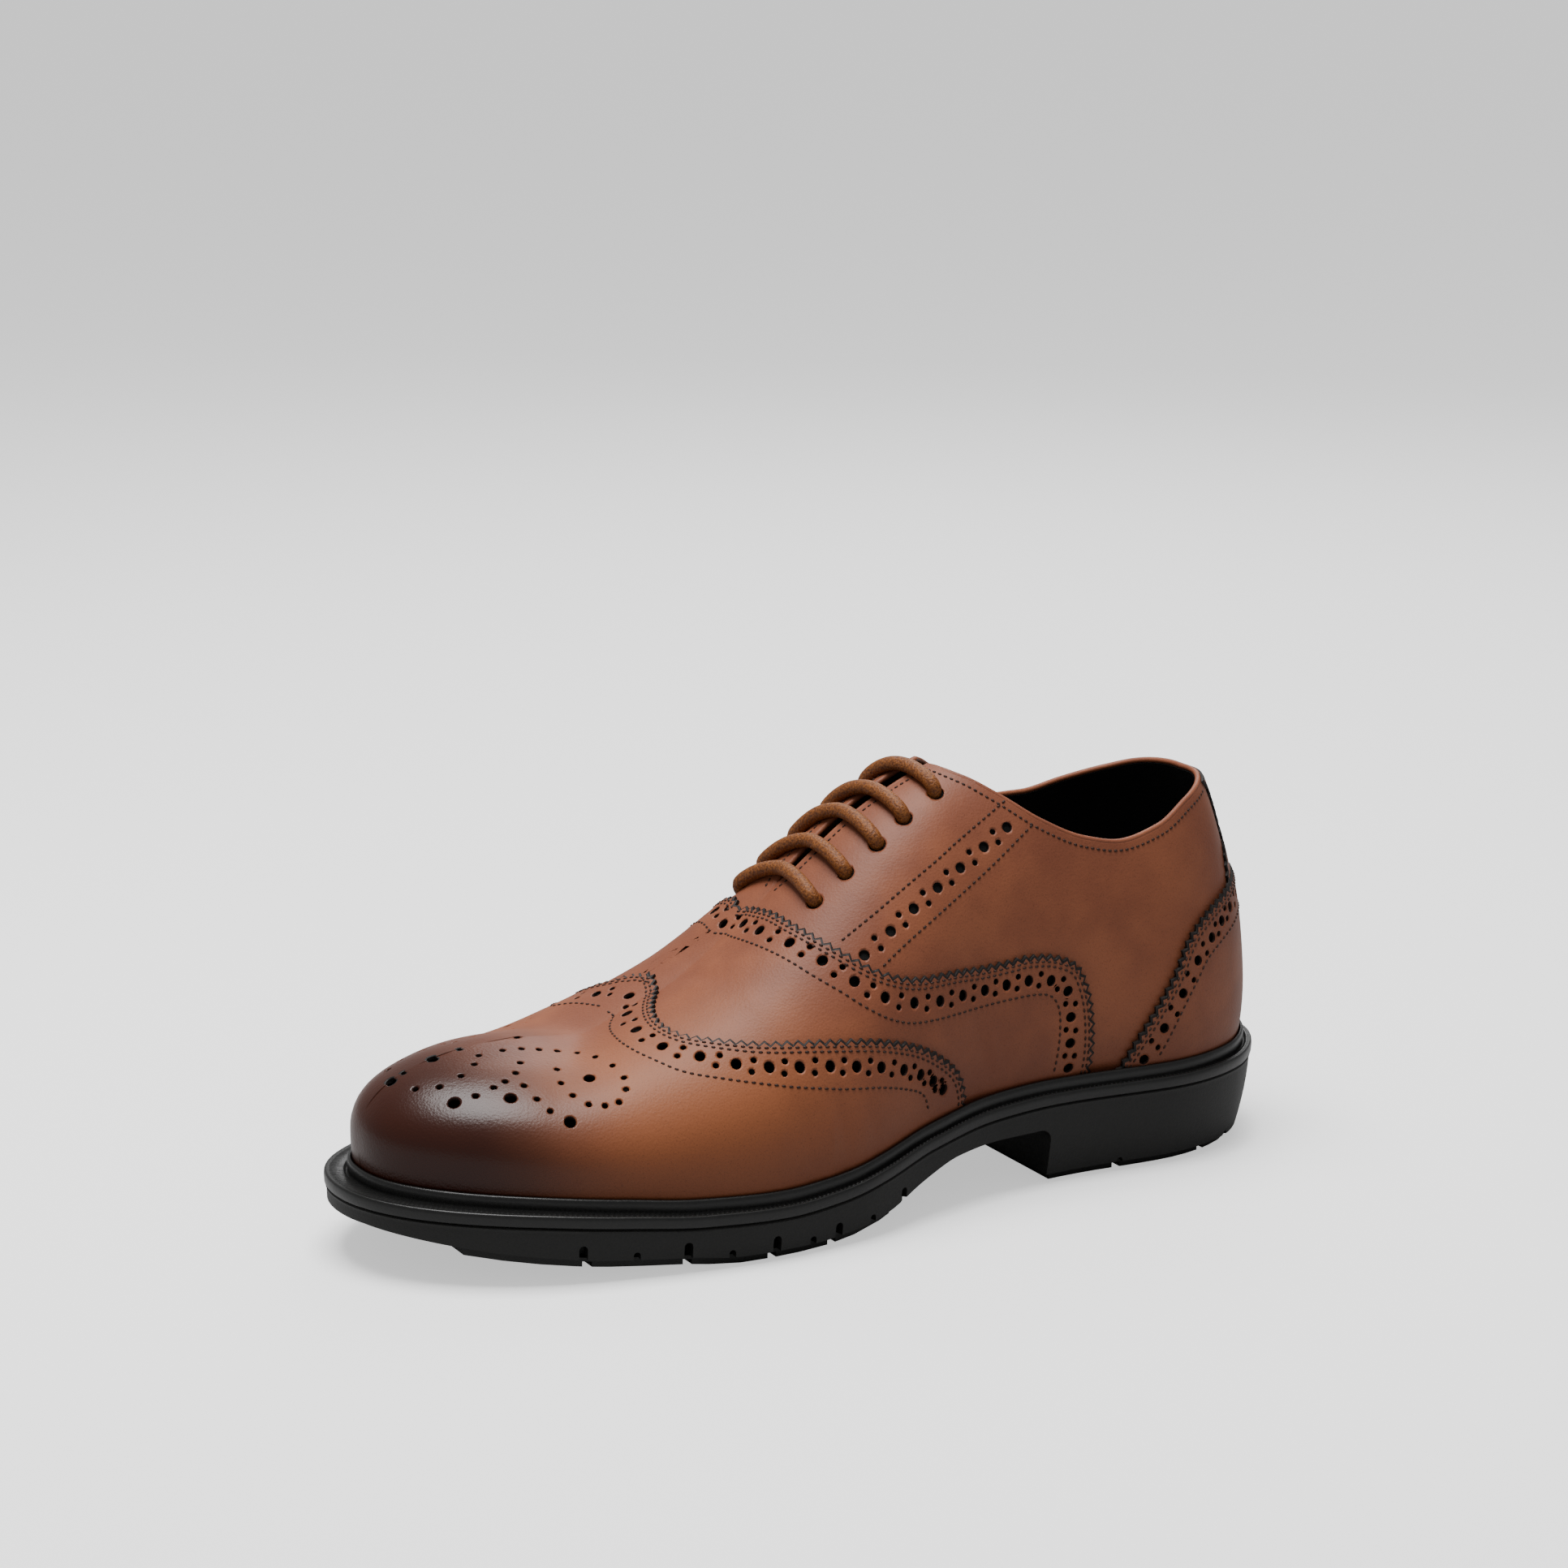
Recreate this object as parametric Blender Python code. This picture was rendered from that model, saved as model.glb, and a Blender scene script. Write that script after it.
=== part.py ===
"""A left brogue shoe for Blender 4.5, in metres, built from named pieces.

+X points to the toe, +Y to the outer side of the foot and +Z up. The origin lies on the floor
below the middle of the sole. One function, skin(), gives the surface of the last. The upper, its
overlays, the tongue and the laces all take their form from it.
"""
import math
from functools import lru_cache

import bmesh
import bpy
import numpy as np
from mathutils import Vector

# Driving sizes in metres
LAST_LENGTH = 0.2800      # feather line, heel back to toe tip
BALL_WIDTH = 0.0915       # feather line across the ball
CONE_HEIGHT = 0.100       # ledge to the top of the instep cone
BACK_HEIGHT = 0.080       # ledge to the topline at the heel back
LEDGE_HEIGHT = 0.0275     # floor to the welt's ledge at the heel
ARCH_HEIGHT = 0.0150      # rise of the waist over the forepart's bottom edge
TREAD = 0.0026            # thickness of the inset treads
WELT_WIDTH = 0.0115        # ledge beyond the feather line at the toe
WELT_THICK = 0.0033       # ledge down to the step line of the side
RIM_HEIGHT = 0.0038       # storm rim above the ledge
RIM_THICK = 0.0010        # storm rim beyond the leather that it hugs
GROOVE_WIDTH = 0.0006     # groove between rim and ledge
GROOVE_DEPTH = 0.0009
SHELF = 0.0090            # welt inside the feather line
WALL = 0.0020             # leather and lining of the upper
LEATHER = 0.0010          # an overlay's thickness
INSOLE_THICK = 0.0030
TONGUE_THICK = 0.0020
TONGUE_WIDTH = 0.046
GAP = 0.0003              # pieces that meet
FIT = 0.0005              # overlays over the faceted upper
BUTT = 0.007              # between the wing cap's edge and the vamp, as a rib share
THROAT_GAP = 0.0090       # between the facings at the top
LACE = 0.0040             # waxed round lace
EYELET_LOW = 0.0150       # lowest eyelet's centre from the facing's edge
EYELET_HIGH = 0.0115      # highest eyelet's centre from the facing's edge
LACE_PITCH = 0.0128       # between lace bars, along the throat
LACE_BARS = 5
HEEL_LENGTH = 0.0830      # heel back of the last to the breast
NOTCH_WIDTH = 0.0025
NOTCH_HEIGHT = 0.0046
NOTCH_DEPTH = 0.0060
CHANNEL = 0.0026          # cross channels of the treads
CHANNEL_DEPTH = 0.0015
TREAD_INSET = 0.0030      # treads in from the bottom edge

# Breadth of the feather line either side of the long axis, as shares of BALL_WIDTH
PLAN = np.array([
    # along  inner  outer
    [0.00, 0.285, 0.290],
    [0.06, 0.335, 0.350],
    [0.15, 0.350, 0.370],
    [0.27, 0.322, 0.356],
    [0.36, 0.292, 0.366],
    [0.46, 0.305, 0.432],
    [0.56, 0.372, 0.518],
    [0.65, 0.440, 0.537],
    [0.73, 0.463, 0.512],
    [0.82, 0.438, 0.458],
    [0.91, 0.375, 0.400],
    [1.00, 0.300, 0.330],
])
HEEL_ROUND = 0.16         # share of the length that each end's rounding takes
TOE_ROUND = 0.20
ROUND_POWER = 2.4

# The middle line that the ribs of the last run to: outline share, place along the last
SPINE = np.array([
    [0.00, 0.130],
    [0.12, 0.150],
    [0.20, 0.200],
    [0.30, 0.290],
    [0.50, 0.480],
    [0.70, 0.670],
    [0.80, 0.755],
    [0.88, 0.812],
    [1.00, 0.840],
])

# Profile along the last: height of the crown above the ledge as a share of CONE_HEIGHT, and the
# crown's shift to the outer side as a share of BALL_WIDTH
CROWN = np.array([
    # along  height  shift
    [0.13, 1.120, 0.000],
    [0.25, 1.060, -0.005],
    [0.34, 0.985, -0.010],
    [0.40, 0.930, -0.015],
    [0.47, 0.845, -0.025],
    [0.55, 0.705, -0.030],
    [0.62, 0.562, -0.025],
    [0.70, 0.434, -0.015],
    [0.78, 0.350, -0.005],
    [0.84, 0.352, 0.000],
])

# Ribs by outline share: bulge over the feather line and height of the widest line, as shares of
# BALL_WIDTH, and fullness of the curve above it (2 is an ellipse)
RIBS = np.array([
    # share  bulge in  out    height in  out    fullness in  out
    [0.00, 0.015, 0.015, 0.180, 0.180, 1.55, 1.55],
    [0.12, 0.020, 0.020, 0.180, 0.180, 1.90, 1.90],
    [0.25, 0.030, 0.034, 0.190, 0.190, 2.05, 2.00],
    [0.40, 0.038, 0.038, 0.200, 0.180, 2.15, 2.15],
    [0.55, 0.034, 0.032, 0.170, 0.140, 1.95, 1.88],
    [0.70, 0.028, 0.028, 0.140, 0.120, 2.10, 2.00],
    [0.85, 0.022, 0.022, 0.125, 0.120, 2.20, 2.15],
    [1.00, 0.016, 0.016, 0.125, 0.125, 2.30, 2.30],
])
LOW_ARC = math.radians(60)

# Floor to the ledge, as a share of LEDGE_HEIGHT
LEDGE = np.array([
    [-0.02, 1.035],
    [0.14, 1.020],
    [0.29, 1.030],
    [0.38, 0.980],
    [0.45, 0.885],
    [0.52, 0.730],
    [0.58, 0.615],
    [0.64, 0.570],
    [0.73, 0.595],
    [0.81, 0.670],
    [0.90, 0.755],
    [1.03, 0.825],
])

# Ledge beyond the feather line by outline share, as a share of WELT_WIDTH
OVERHANG = np.array([
    [0.00, 0.543],
    [0.25, 0.554],
    [0.42, 0.620],
    [0.60, 0.707],
    [0.80, 0.860],
    [1.00, 1.000],
])

# Bottom edge of the sole's side ahead of the breast, above the treads, as a share of ARCH_HEIGHT
ARCH = np.array([
    [0.25, 0.990],
    [0.36, 0.970],
    [0.42, 0.890],
    [0.47, 0.600],
    [0.52, 0.240],
    [0.57, 0.060],
    [0.61, 0.000],
    [0.69, 0.000],
    [0.75, 0.120],
    [0.82, 0.220],
    [0.90, 0.400],
    [1.03, 0.800],
])

# Topline by place along the last: height above the ledge as a share of BACK_HEIGHT
TOPLINE = np.array([
    # along  inner  outer
    [-0.02, 1.030, 1.030],
    [0.05, 1.035, 1.035],
    [0.10, 0.995, 0.990],
    [0.15, 0.955, 0.915],
    [0.20, 0.920, 0.880],
    [0.24, 0.920, 0.905],
    [0.29, 0.985, 0.985],
    [0.33, 1.085, 1.085],
    [0.36, 1.155, 1.155],
    [0.385, 1.190, 1.190],
    [0.60, 1.190, 1.190],
])

THROAT_END = 0.545        # front end of the throat, along the last
FACING_TOP = 0.300        # ribs behind this end at the topline alone

# Panel edges as outline share and rib share. The wing cap's edge climbs from its tail to a notch
# beside the crown, and from there back to its peak on the crown.
WING_LOW = np.array([
    [0.412, 0.000],
    [0.415, 0.072],
    [0.424, 0.136],
    [0.440, 0.187],
    [0.468, 0.253],
    [0.503, 0.314],
    [0.545, 0.375],
    [0.594, 0.441],
    [0.641, 0.506],
    [0.681, 0.589],
    [0.703, 0.662],
    [0.716, 0.749],
    [0.721, 0.864],
])
WING_HIGH = np.array([
    [0.706, 1.000],
    [0.712, 0.955],
    [0.718, 0.905],
    [0.721, 0.864],
])
VAMP_EDGE = np.array([
    [0.268, 0.000],
    [0.272, 0.193],
    [0.277, 0.258],
    [0.289, 0.316],
    [0.314, 0.350],
    [0.343, 0.366],
    [0.370, 0.374],
    [0.395, 0.382],
    [0.430, 0.398],
    [0.464, 0.427],
    [0.492, 0.469],
    [0.518, 0.532],
    [0.541, 0.622],
    [0.558, 0.701],
    [0.573, 0.792],
    [0.584, 0.905],
    [0.592, 1.000],
])
COUNTER_EDGE = np.array([
    [0.000, 0.440],
    [0.045, 0.435],
    [0.087, 0.420],
    [0.140, 0.377],
    [0.167, 0.325],
    [0.187, 0.249],
    [0.205, 0.183],
    [0.226, 0.106],
    [0.246, 0.000],
])

# Back strap above the counter: rib share and half width as an outline share
STRAP = np.array([
    [0.440, 0.050],
    [0.550, 0.050],
    [0.650, 0.066],
    [0.720, 0.084],
])

# Notches in the bottom edge of the side, by outline place along the last, and their size as a share
NOTCHES = np.array([
    [0.505, 0.8],
    [0.545, 0.5],
    [0.585, 0.9],
    [0.615, 0.5],
    [0.655, 1.0],
    [0.700, 0.5],
    [0.745, 1.0],
    [0.795, 0.5],
    [0.845, 0.9],
])

COLORS = {
    # name: colour, roughness
    "leather": ((0.30, 0.13, 0.07, 1.0), 0.42),
    "overlay": ((0.26, 0.11, 0.06, 1.0), 0.42),
    "lining": ((0.02, 0.02, 0.02, 1.0), 0.70),
    "rubber": ((0.018, 0.018, 0.017, 1.0), 0.55),
    "lace": ((0.22, 0.08, 0.03, 1.0), 0.60),
}


def smooth(table, x, column=1):
    """A smooth curve through a table's column, without overshoot between its rows."""
    xs, ys = table[:, 0], table[:, column]
    x = np.clip(np.asarray(x, float), xs[0], xs[-1])
    step = np.diff(xs)
    slope = np.diff(ys) / step
    tangent = np.zeros(len(xs))
    tangent[0], tangent[-1] = slope[0], slope[-1]
    for i in range(1, len(xs) - 1):
        if slope[i - 1] * slope[i] > 0:
            w1, w2 = 2 * step[i] + step[i - 1], step[i] + 2 * step[i - 1]
            tangent[i] = (w1 + w2) / (w1 / slope[i - 1] + w2 / slope[i])
    i = np.clip(np.searchsorted(xs, x, side="right") - 1, 0, len(step) - 1)
    t = (x - xs[i]) / step[i]
    return ((1 + 2 * t) * (1 - t) ** 2 * ys[i] + t * (1 - t) ** 2 * step[i] * tangent[i]
            + t * t * (3 - 2 * t) * ys[i + 1] + t * t * (t - 1) * step[i] * tangent[i + 1])


# Plan of the feather line, walked once for each side (0 inner, 1 outer)

def plan_breadth(along, side):
    """Distance of the feather line from the long axis."""
    heel = np.clip((HEEL_ROUND - along) / HEEL_ROUND, 0, 1)
    toe = np.clip((along - 1 + TOE_ROUND) / TOE_ROUND, 0, 1)
    ends = (1 - heel ** ROUND_POWER) * (1 - toe ** ROUND_POWER)
    return BALL_WIDTH * smooth(PLAN, along, 1 + side) * ends ** (1 / ROUND_POWER)


@lru_cache(None)
def plan_walk(side):
    """Points of one side's feather line and their share of its length."""
    along = 0.5 - 0.5 * np.cos(np.linspace(0, math.pi, 1201))
    sign = 1 if side else -1
    points = np.stack([along * LAST_LENGTH, sign * plan_breadth(along, side)], -1)
    length = np.concatenate([[0], np.cumsum(np.linalg.norm(np.diff(points, axis=0), axis=1))])
    return points, length / length[-1]


def plan_point(share, side, out=0.0):
    """Point of the feather line at a share of its length, moved outwards by out."""
    points, lengths = plan_walk(side)
    at = np.array([np.interp(share, lengths, points[:, k]) for k in range(2)])
    if out == 0.0:
        return at
    ahead = np.array([np.interp(min(share + 0.004, 1), lengths, points[:, k]) for k in range(2)])
    behind = np.array([np.interp(max(share - 0.004, 0), lengths, points[:, k]) for k in range(2)])
    if share < 0.002:
        return at + (-out, 0)
    if share > 0.998:
        return at + (out, 0)
    run = (ahead - behind) / np.linalg.norm(ahead - behind)
    sign = 1 if side else -1
    return at + out * sign * np.array([-run[1], run[0]])


def ledge_height(x):
    return LEDGE_HEIGHT * smooth(LEDGE, x / LAST_LENGTH)


def crown_point(share):
    """Top of the rib: where both sides of the last meet."""
    along = float(smooth(SPINE, share))
    height = CONE_HEIGHT * smooth(CROWN, along, 1)
    x = along * LAST_LENGTH
    return np.array([x, BALL_WIDTH * float(smooth(CROWN, along, 2)), float(ledge_height(x) + height)])


@lru_cache(None)
def rib(share, side):
    """One rib of the last, from feather line to crown, and the share of its length at each point."""
    foot = plan_point(share, side)
    top = crown_point(share)
    floor = float(ledge_height(foot[0])) + GAP
    reach = np.linalg.norm(top[:2] - foot)
    heading = (top[:2] - foot) / reach
    bulge = BALL_WIDTH * float(smooth(RIBS, share, 1 + side))
    wide = BALL_WIDTH * float(smooth(RIBS, share, 3 + side))
    full = float(smooth(RIBS, share, 5 + side))
    low = np.linspace(-LOW_ARC, 0, 13)[:-1]
    low_in = -bulge * (np.cos(low) - math.cos(LOW_ARC)) / (1 - math.cos(LOW_ARC))
    low_up = wide * (1 + np.sin(low) / math.sin(LOW_ARC))
    high = np.linspace(0, math.pi / 2, 61)
    high_in = reach - (reach + bulge) * np.cos(high) ** (2 / full)
    high_up = wide + (top[2] - floor - wide) * np.sin(high) ** (2 / full)
    inward = np.concatenate([low_in, high_in])
    rise = np.concatenate([low_up, high_up])
    points = np.stack([foot[0] + heading[0] * inward, foot[1] + heading[1] * inward, floor + rise], -1)
    length = np.concatenate([[0], np.cumsum(np.linalg.norm(np.diff(points, axis=0), axis=1))])
    return points, length / length[-1]


def bare(share, side, h):
    """Last surface at outline share and rib share h, carried on past heel, toe and crown."""
    if share < 0:
        share, side = -share, 1 - side
    if share > 1:
        share, side = 2 - share, 1 - side
    if h > 1:
        h, side = 2 - h, 1 - side
    points, lengths = rib(round(share, 6), side)
    return np.array([np.interp(h, lengths, points[:, k]) for k in range(3)])


def skin(share, side, h, lift=0.0):
    """Last surface moved out along its normal by lift, or in where lift is negative."""
    at = bare(share, side, h)
    if lift == 0.0:
        return at
    ds, dh = 0.006, 0.02
    low = max(h - dh, 0)
    run = bare(share + ds, side, h) - bare(share - ds, side, h)
    rise = bare(share, side, h + dh) - bare(share, side, low)
    normal = np.cross(run, rise) * (-1 if side else 1)
    size = np.linalg.norm(normal)
    if size < 1e-12:
        return at + (0.0, 0.0, lift)
    return at + lift * normal / size


def solve(f, low, high):
    """Root of a rising function between low and high, or high where it stays below zero."""
    if f(high) < 0:
        return high
    for _ in range(30):
        middle = 0.5 * (low + high)
        if f(middle) < 0:
            low = middle
        else:
            high = middle
    return 0.5 * (low + high)


def topline(x, side):
    return float(ledge_height(x)) + BACK_HEIGHT * float(smooth(TOPLINE, x / LAST_LENGTH, 1 + side))


def half_gap(x):
    """Half of the throat's gap, from nothing at its front end."""
    behind = (THROAT_END - x / LAST_LENGTH) * LAST_LENGTH
    if behind <= 0:
        return 0.0
    widen = 0.45 + 0.55 * min(behind / (THROAT_END * LAST_LENGTH * 0.3), 1)
    return 0.5 * THROAT_GAP * widen * min(1, behind / 0.004) ** 0.5


def rib_top(share, side):
    """Share of the rib at which the upper ends: crown, facing edge or topline."""
    if share in (0, 1):
        side = 0

    def over_topline(h):
        at = bare(share, side, h)
        return at[2] - topline(at[0], side)

    def over_gap(h):
        at = bare(share, side, h)
        middle = BALL_WIDTH * float(smooth(CROWN, at[0] / LAST_LENGTH, 2))
        return half_gap(at[0]) - abs(at[1] - middle)

    top = solve(over_topline, 0.3, 1.0)
    if not FACING_TOP < crown_point(share)[0] / LAST_LENGTH < THROAT_END - 1e-6:
        return top
    return min(top, solve(over_gap, 0.3, 1.0))


def share_of_crown(along):
    """Outline share whose rib reaches the crown at a place along the last."""
    return solve(lambda s: float(smooth(SPINE, s)) - along, 0.0, 1.0)


# Where the model's frame lies: the long axis of the last, moved so that the sole is centred

def ledge_point(share, side, out=0.0):
    """Point of the ledge's outer edge in plan."""
    over = WELT_WIDTH * float(smooth(OVERHANG, share))
    return plan_point(share, side, over + out)


def frame_shift():
    rim = np.array([ledge_point(s, side) for side in (0, 1) for s in np.linspace(0, 1, 201)])
    middle = 0.5 * (rim.min(0) + rim.max(0))
    return Vector((-middle[0], -middle[1], 0))


# Mesh helpers

SHIFT = frame_shift()
THROAT_SHARE = share_of_crown(THROAT_END)
BACK_RIBS = 19
FRONT_RIBS = 16
ROWS = (0, 0.045, 0.11, 0.19, 0.28, 0.38, 0.49, 0.60, 0.71, 0.82, 0.92, 1)
CLOSE = 0.004             # ribs and rows nearer than this to a panel's edge give way to it


def stations(low=0.0, high=1.0, extra=()):
    """Outline shares of the ribs between two shares, both included, with a panel's own ones."""
    every = np.concatenate([np.linspace(0, THROAT_SHARE, BACK_RIBS + 1),
                            np.linspace(THROAT_SHARE, 1, FRONT_RIBS + 1)[1:]])
    own = [low, high] + [s for s in extra if low + CLOSE < s < high - CLOSE]
    kept = [float(s) for s in every if low < s < high and min(abs(s - o) for o in own) > CLOSE]
    return sorted(own + kept)


def plain_material(name):
    colour, roughness = COLORS[name]
    material = bpy.data.materials.new(name)
    material.use_nodes = True
    shader = material.node_tree.nodes["Principled BSDF"]
    shader.inputs["Base Color"].default_value = colour
    shader.inputs["Roughness"].default_value = roughness
    material.diffuse_color = colour
    return material


def finish(name, bm, material):
    """Weld, move into the model's frame and add to the scene."""
    bmesh.ops.remove_doubles(bm, verts=bm.verts, dist=2e-6)
    bmesh.ops.translate(bm, verts=bm.verts, vec=SHIFT)
    bmesh.ops.recalc_face_normals(bm, faces=bm.faces)
    mesh = bpy.data.meshes.new(name)
    bm.to_mesh(mesh)
    bm.free()
    mesh.shade_smooth()
    mesh.set_sharp_from_angle(angle=math.radians(35))
    mesh.materials.append(material)
    obj = bpy.data.objects.new(name, mesh)
    bpy.context.scene.collection.objects.link(obj)
    return obj


def same_place(share, side, h):
    """One name for a place that both sides of the last share."""
    if share < 0:
        share, side = -share, 1 - side
    share, h = round(share, 5), round(h, 5)
    return (share, 0 if share in (0, 1) or h == 1 else side, h)


def strip(rows):
    """Quads between neighbouring rows of places, without places that fall together."""
    quads = []
    for a, b in zip(rows, rows[1:]):
        for k in range(len(a) - 1):
            corners = []
            for place in (a[k], a[k + 1], b[k + 1], b[k]):
                place = same_place(*place)
                if place not in corners:
                    corners.append(place)
            if len(corners) > 2:
                quads.append(corners)
    return quads


def shell(name, quads, lifts, material):
    """A walled sheet over quads of places: two skins, and a rim along each open edge."""
    bm = bmesh.new()
    verts = {}

    def vert(place, lift):
        key = (place, lift)
        if key not in verts:
            verts[key] = bm.verts.new(skin(*place, lift))
        return verts[key]

    uses = {}
    for corners in quads:
        for lift in lifts:
            bm.faces.new([vert(place, lift) for place in corners])
        for a, b in zip(corners, corners[1:] + corners[:1]):
            edge = tuple(sorted((a, b)))
            uses[edge] = uses.get(edge, 0) + 1
    for (a, b), count in uses.items():
        if count == 1:
            bm.faces.new((vert(a, lifts[0]), vert(b, lifts[0]), vert(b, lifts[1]), vert(a, lifts[1])))
    return finish(name, bm, material)


def spread(low, high, shares):
    return [low + (high - low) * share for share in shares]


def even(count):
    return [k / count for k in range(count + 1)]


def upper_rows(s, side, low=0.0, high=1.0):
    """The upper's own rows on a rib, held between two rib shares, so that facets run alike."""
    rows = []
    for h in spread(0, rib_top(abs(s), side if s >= 0 else 1 - side), ROWS):
        h = low if h < low + 3 * CLOSE else high if h > high - 3 * CLOSE else h
        rows.append((s, side, h))
    rows[0] = (s, side, low)
    if high < 1.0:
        rows[-1] = (s, side, high)
    return rows


# Upper and what lies on it

def make_upper(material):
    quads = []
    for side in (0, 1):
        rows = [[(s, side, h) for h in spread(0, rib_top(s, side), ROWS)] for s in stations()]
        quads += strip(rows)
    return shell("upper", quads, (-WALL, 0.0), material)


@lru_cache(None)
def rim_line(s, side, lift):
    """Rib share at which an overlay of that outer lift begins, just over the storm rim."""
    s = abs(s)
    floor = float(ledge_height(plan_point(s, side)[0])) + RIM_HEIGHT + 2 * GAP
    return solve(lambda h: skin(s, side, h, lift)[2] - floor, 0.0, 0.4)


# Ribs that a panel needs where its edge turns quickly
WING_BREAKS = [*WING_LOW[1:5, 0], *WING_LOW[-4:-1, 0]]
NOTCH_BREAKS = [WING_HIGH[1, 0], WING_LOW[-2, 0]]
VAMP_BREAKS = [*VAMP_EDGE[1:6, 0], *VAMP_EDGE[-6:, 0]]


def wing_low(s):
    return float(smooth(WING_LOW, s))


def make_wing_cap(material):
    """Toe cap with wings, thick enough to stand one leather above the vamp that it laps."""
    notch, middle = WING_LOW[-1]
    peak = WING_HIGH[0, 0]
    lift = FIT + 2 * LEATHER

    def low(s):
        return rim_line(s, side, lift)

    quads = []
    for side in (0, 1):
        quads += strip([upper_rows(s, side, low(s), max(wing_low(s), low(s)))
                        for s in stations(WING_LOW[1, 0], notch, WING_BREAKS)])
        quads += strip([upper_rows(s, side, float(smooth(WING_HIGH, s)), 1.0)
                        for s in stations(peak, notch, NOTCH_BREAKS)])
        quads += strip([upper_rows(s, side, low(s), middle) + upper_rows(s, side, middle, 1.0)
                        for s in stations(notch, 1.0)])
    return shell("wing_cap", quads, (FIT, lift), material)


def make_vamp_overlay(material):
    """From its gimped edge behind the throat forward to the wing cap's edge."""
    tail, notch, peak = WING_LOW[0, 0], WING_LOW[-1, 0], WING_HIGH[0, 0]
    lift = FIT + LEATHER

    def low(s, side):
        return max(wing_low(s) + BUTT if s > tail - BUTT else 0.0, rim_line(s, side, lift))

    def high(s):
        if s < VAMP_EDGE[-1, 0]:
            return float(smooth(VAMP_EDGE, s))
        return 1.0 if s < peak - BUTT else float(smooth(WING_HIGH, s)) - BUTT

    own = [*VAMP_BREAKS, *WING_BREAKS, *NOTCH_BREAKS, peak - BUTT]
    quads = []
    for side in (0, 1):
        quads += strip([upper_rows(s, side, low(s, side), high(s))
                        for s in stations(VAMP_EDGE[1, 0], notch - BUTT, own)
                        if high(s) > low(s, side)])
    return shell("vamp_overlay", quads, (FIT, lift), material)


def make_heel_counter(material):
    """Round the heel, from one gimped side edge over the back to the other."""
    lift = FIT + LEATHER
    ahead = stations(0.0, COUNTER_EDGE[-2, 0], COUNTER_EDGE[3:-1, 0])
    rows = []
    for s in [-s for s in ahead[:0:-1]] + ahead:
        top = float(smooth(COUNTER_EDGE, abs(s)))
        rows.append(upper_rows(s, 1, rim_line(s, 1 if s >= 0 else 0, lift), top))
    return shell("heel_counter", strip(rows), (FIT, lift), material)


def make_back_strap(material):
    low = COUNTER_EDGE[0, 1] + GAP / BACK_HEIGHT * 1.5
    rows = []
    for k in even(4):
        row = []
        for across in (-1, -0.6, -0.25, 0, 0.25, 0.6, 1):
            h = low + k * (STRAP[-1, 0] - low)
            s = across * float(smooth(STRAP, h))
            side = 1 if s >= 0 else 0
            top = rib_top(abs(s), side) - GAP / BACK_HEIGHT
            row.append((s, 1, low + k * (top - low)))
        rows.append(row)
    return shell("back_strap", strip(rows), (FIT, FIT + LEATHER), material)


def make_tongue(material):
    """Under the facings, from inside the vamp to just under the top of the throat."""
    quads = []
    for side in (0, 1):
        rows = []
        for s in stations(share_of_crown(0.375), share_of_crown(THROAT_END + 0.05)):
            points, _ = rib(round(s, 6), side)
            length = np.linalg.norm(np.diff(points, axis=0), axis=1).sum()
            row = upper_rows(s, side, 1 - 0.5 * TONGUE_WIDTH / length)
            rows.append(row + [(s, side, 1.0)])
        quads += strip(rows)
    under = -WALL - 5 * GAP
    return shell("tongue", quads, (under - TONGUE_THICK, under), material)


def eyelet(index, side):
    """Rib and rib share of a lace hole, counted from the lowest."""
    along = THROAT_END - 0.012 - index * LACE_PITCH / LAST_LENGTH * 0.80
    s = share_of_crown(along)
    points, _ = rib(round(s, 6), side)
    length = np.linalg.norm(np.diff(points, axis=0), axis=1).sum()
    inset = EYELET_LOW + (EYELET_HIGH - EYELET_LOW) * index / (LACE_BARS - 1)
    return s, rib_top(s, side) - inset / length


def make_lace_bar(index, material):
    """One straight bar of the lace, from eyelet to eyelet over the throat."""
    bow = 0.9 * LACE
    path = []
    for side in (1, 0):
        s, h = eyelet(index, side)
        half = [(s, side, h) for h in spread(h, 1, even(5))]
        path += half[:-1] if side else half[::-1]
    curve = bpy.data.curves.new(f"lace_bar_{index + 1}", "CURVE")
    curve.dimensions = "3D"
    curve.bevel_depth = 0.5 * LACE
    curve.bevel_resolution = 1
    curve.use_fill_caps = True
    spline = curve.splines.new("POLY")
    spline.points.add(len(path) - 1)
    for k, (place, point) in enumerate(zip(path, spline.points)):
        arch = math.sin(math.pi * k / (len(path) - 1))
        at = skin(*place, 0.5 * LACE - GAP + bow * arch) + np.array(SHIFT)
        point.co = (*at, 1)
    obj = bpy.data.objects.new(f"lace_bar_{index + 1}", curve)
    curve.materials.append(material)
    bpy.context.scene.collection.objects.link(obj)
    return obj


# Bottom parts, drawn round the outline

def around():
    """Ribs all round the outline: outer side from heel to toe, then inner side back."""
    ahead = stations()
    return [(s, 1) for s in ahead] + [(s, 0) for s in ahead[-2:0:-1]]


def outline_place(s, side, out, rise):
    """Point at a distance outside the feather line, rise above the ledge there."""
    at = plan_point(s, side, out)
    return Vector((at[0], at[1], float(ledge_height(at[0])) + rise))


def over_ledge(s):
    return WELT_WIDTH * float(smooth(OVERHANG, s))


def skin_out(s, side, rise):
    """Distance of the upper's face outside the feather line, rise above the ledge."""
    foot = plan_point(s, side)
    normal = plan_point(s, side, 1.0) - foot
    level = float(ledge_height(foot[0])) + GAP + rise
    h = solve(lambda share: bare(s, side, share)[2] - level, 0.0, 0.4)
    return float((bare(s, side, h)[:2] - foot) @ normal)


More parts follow.
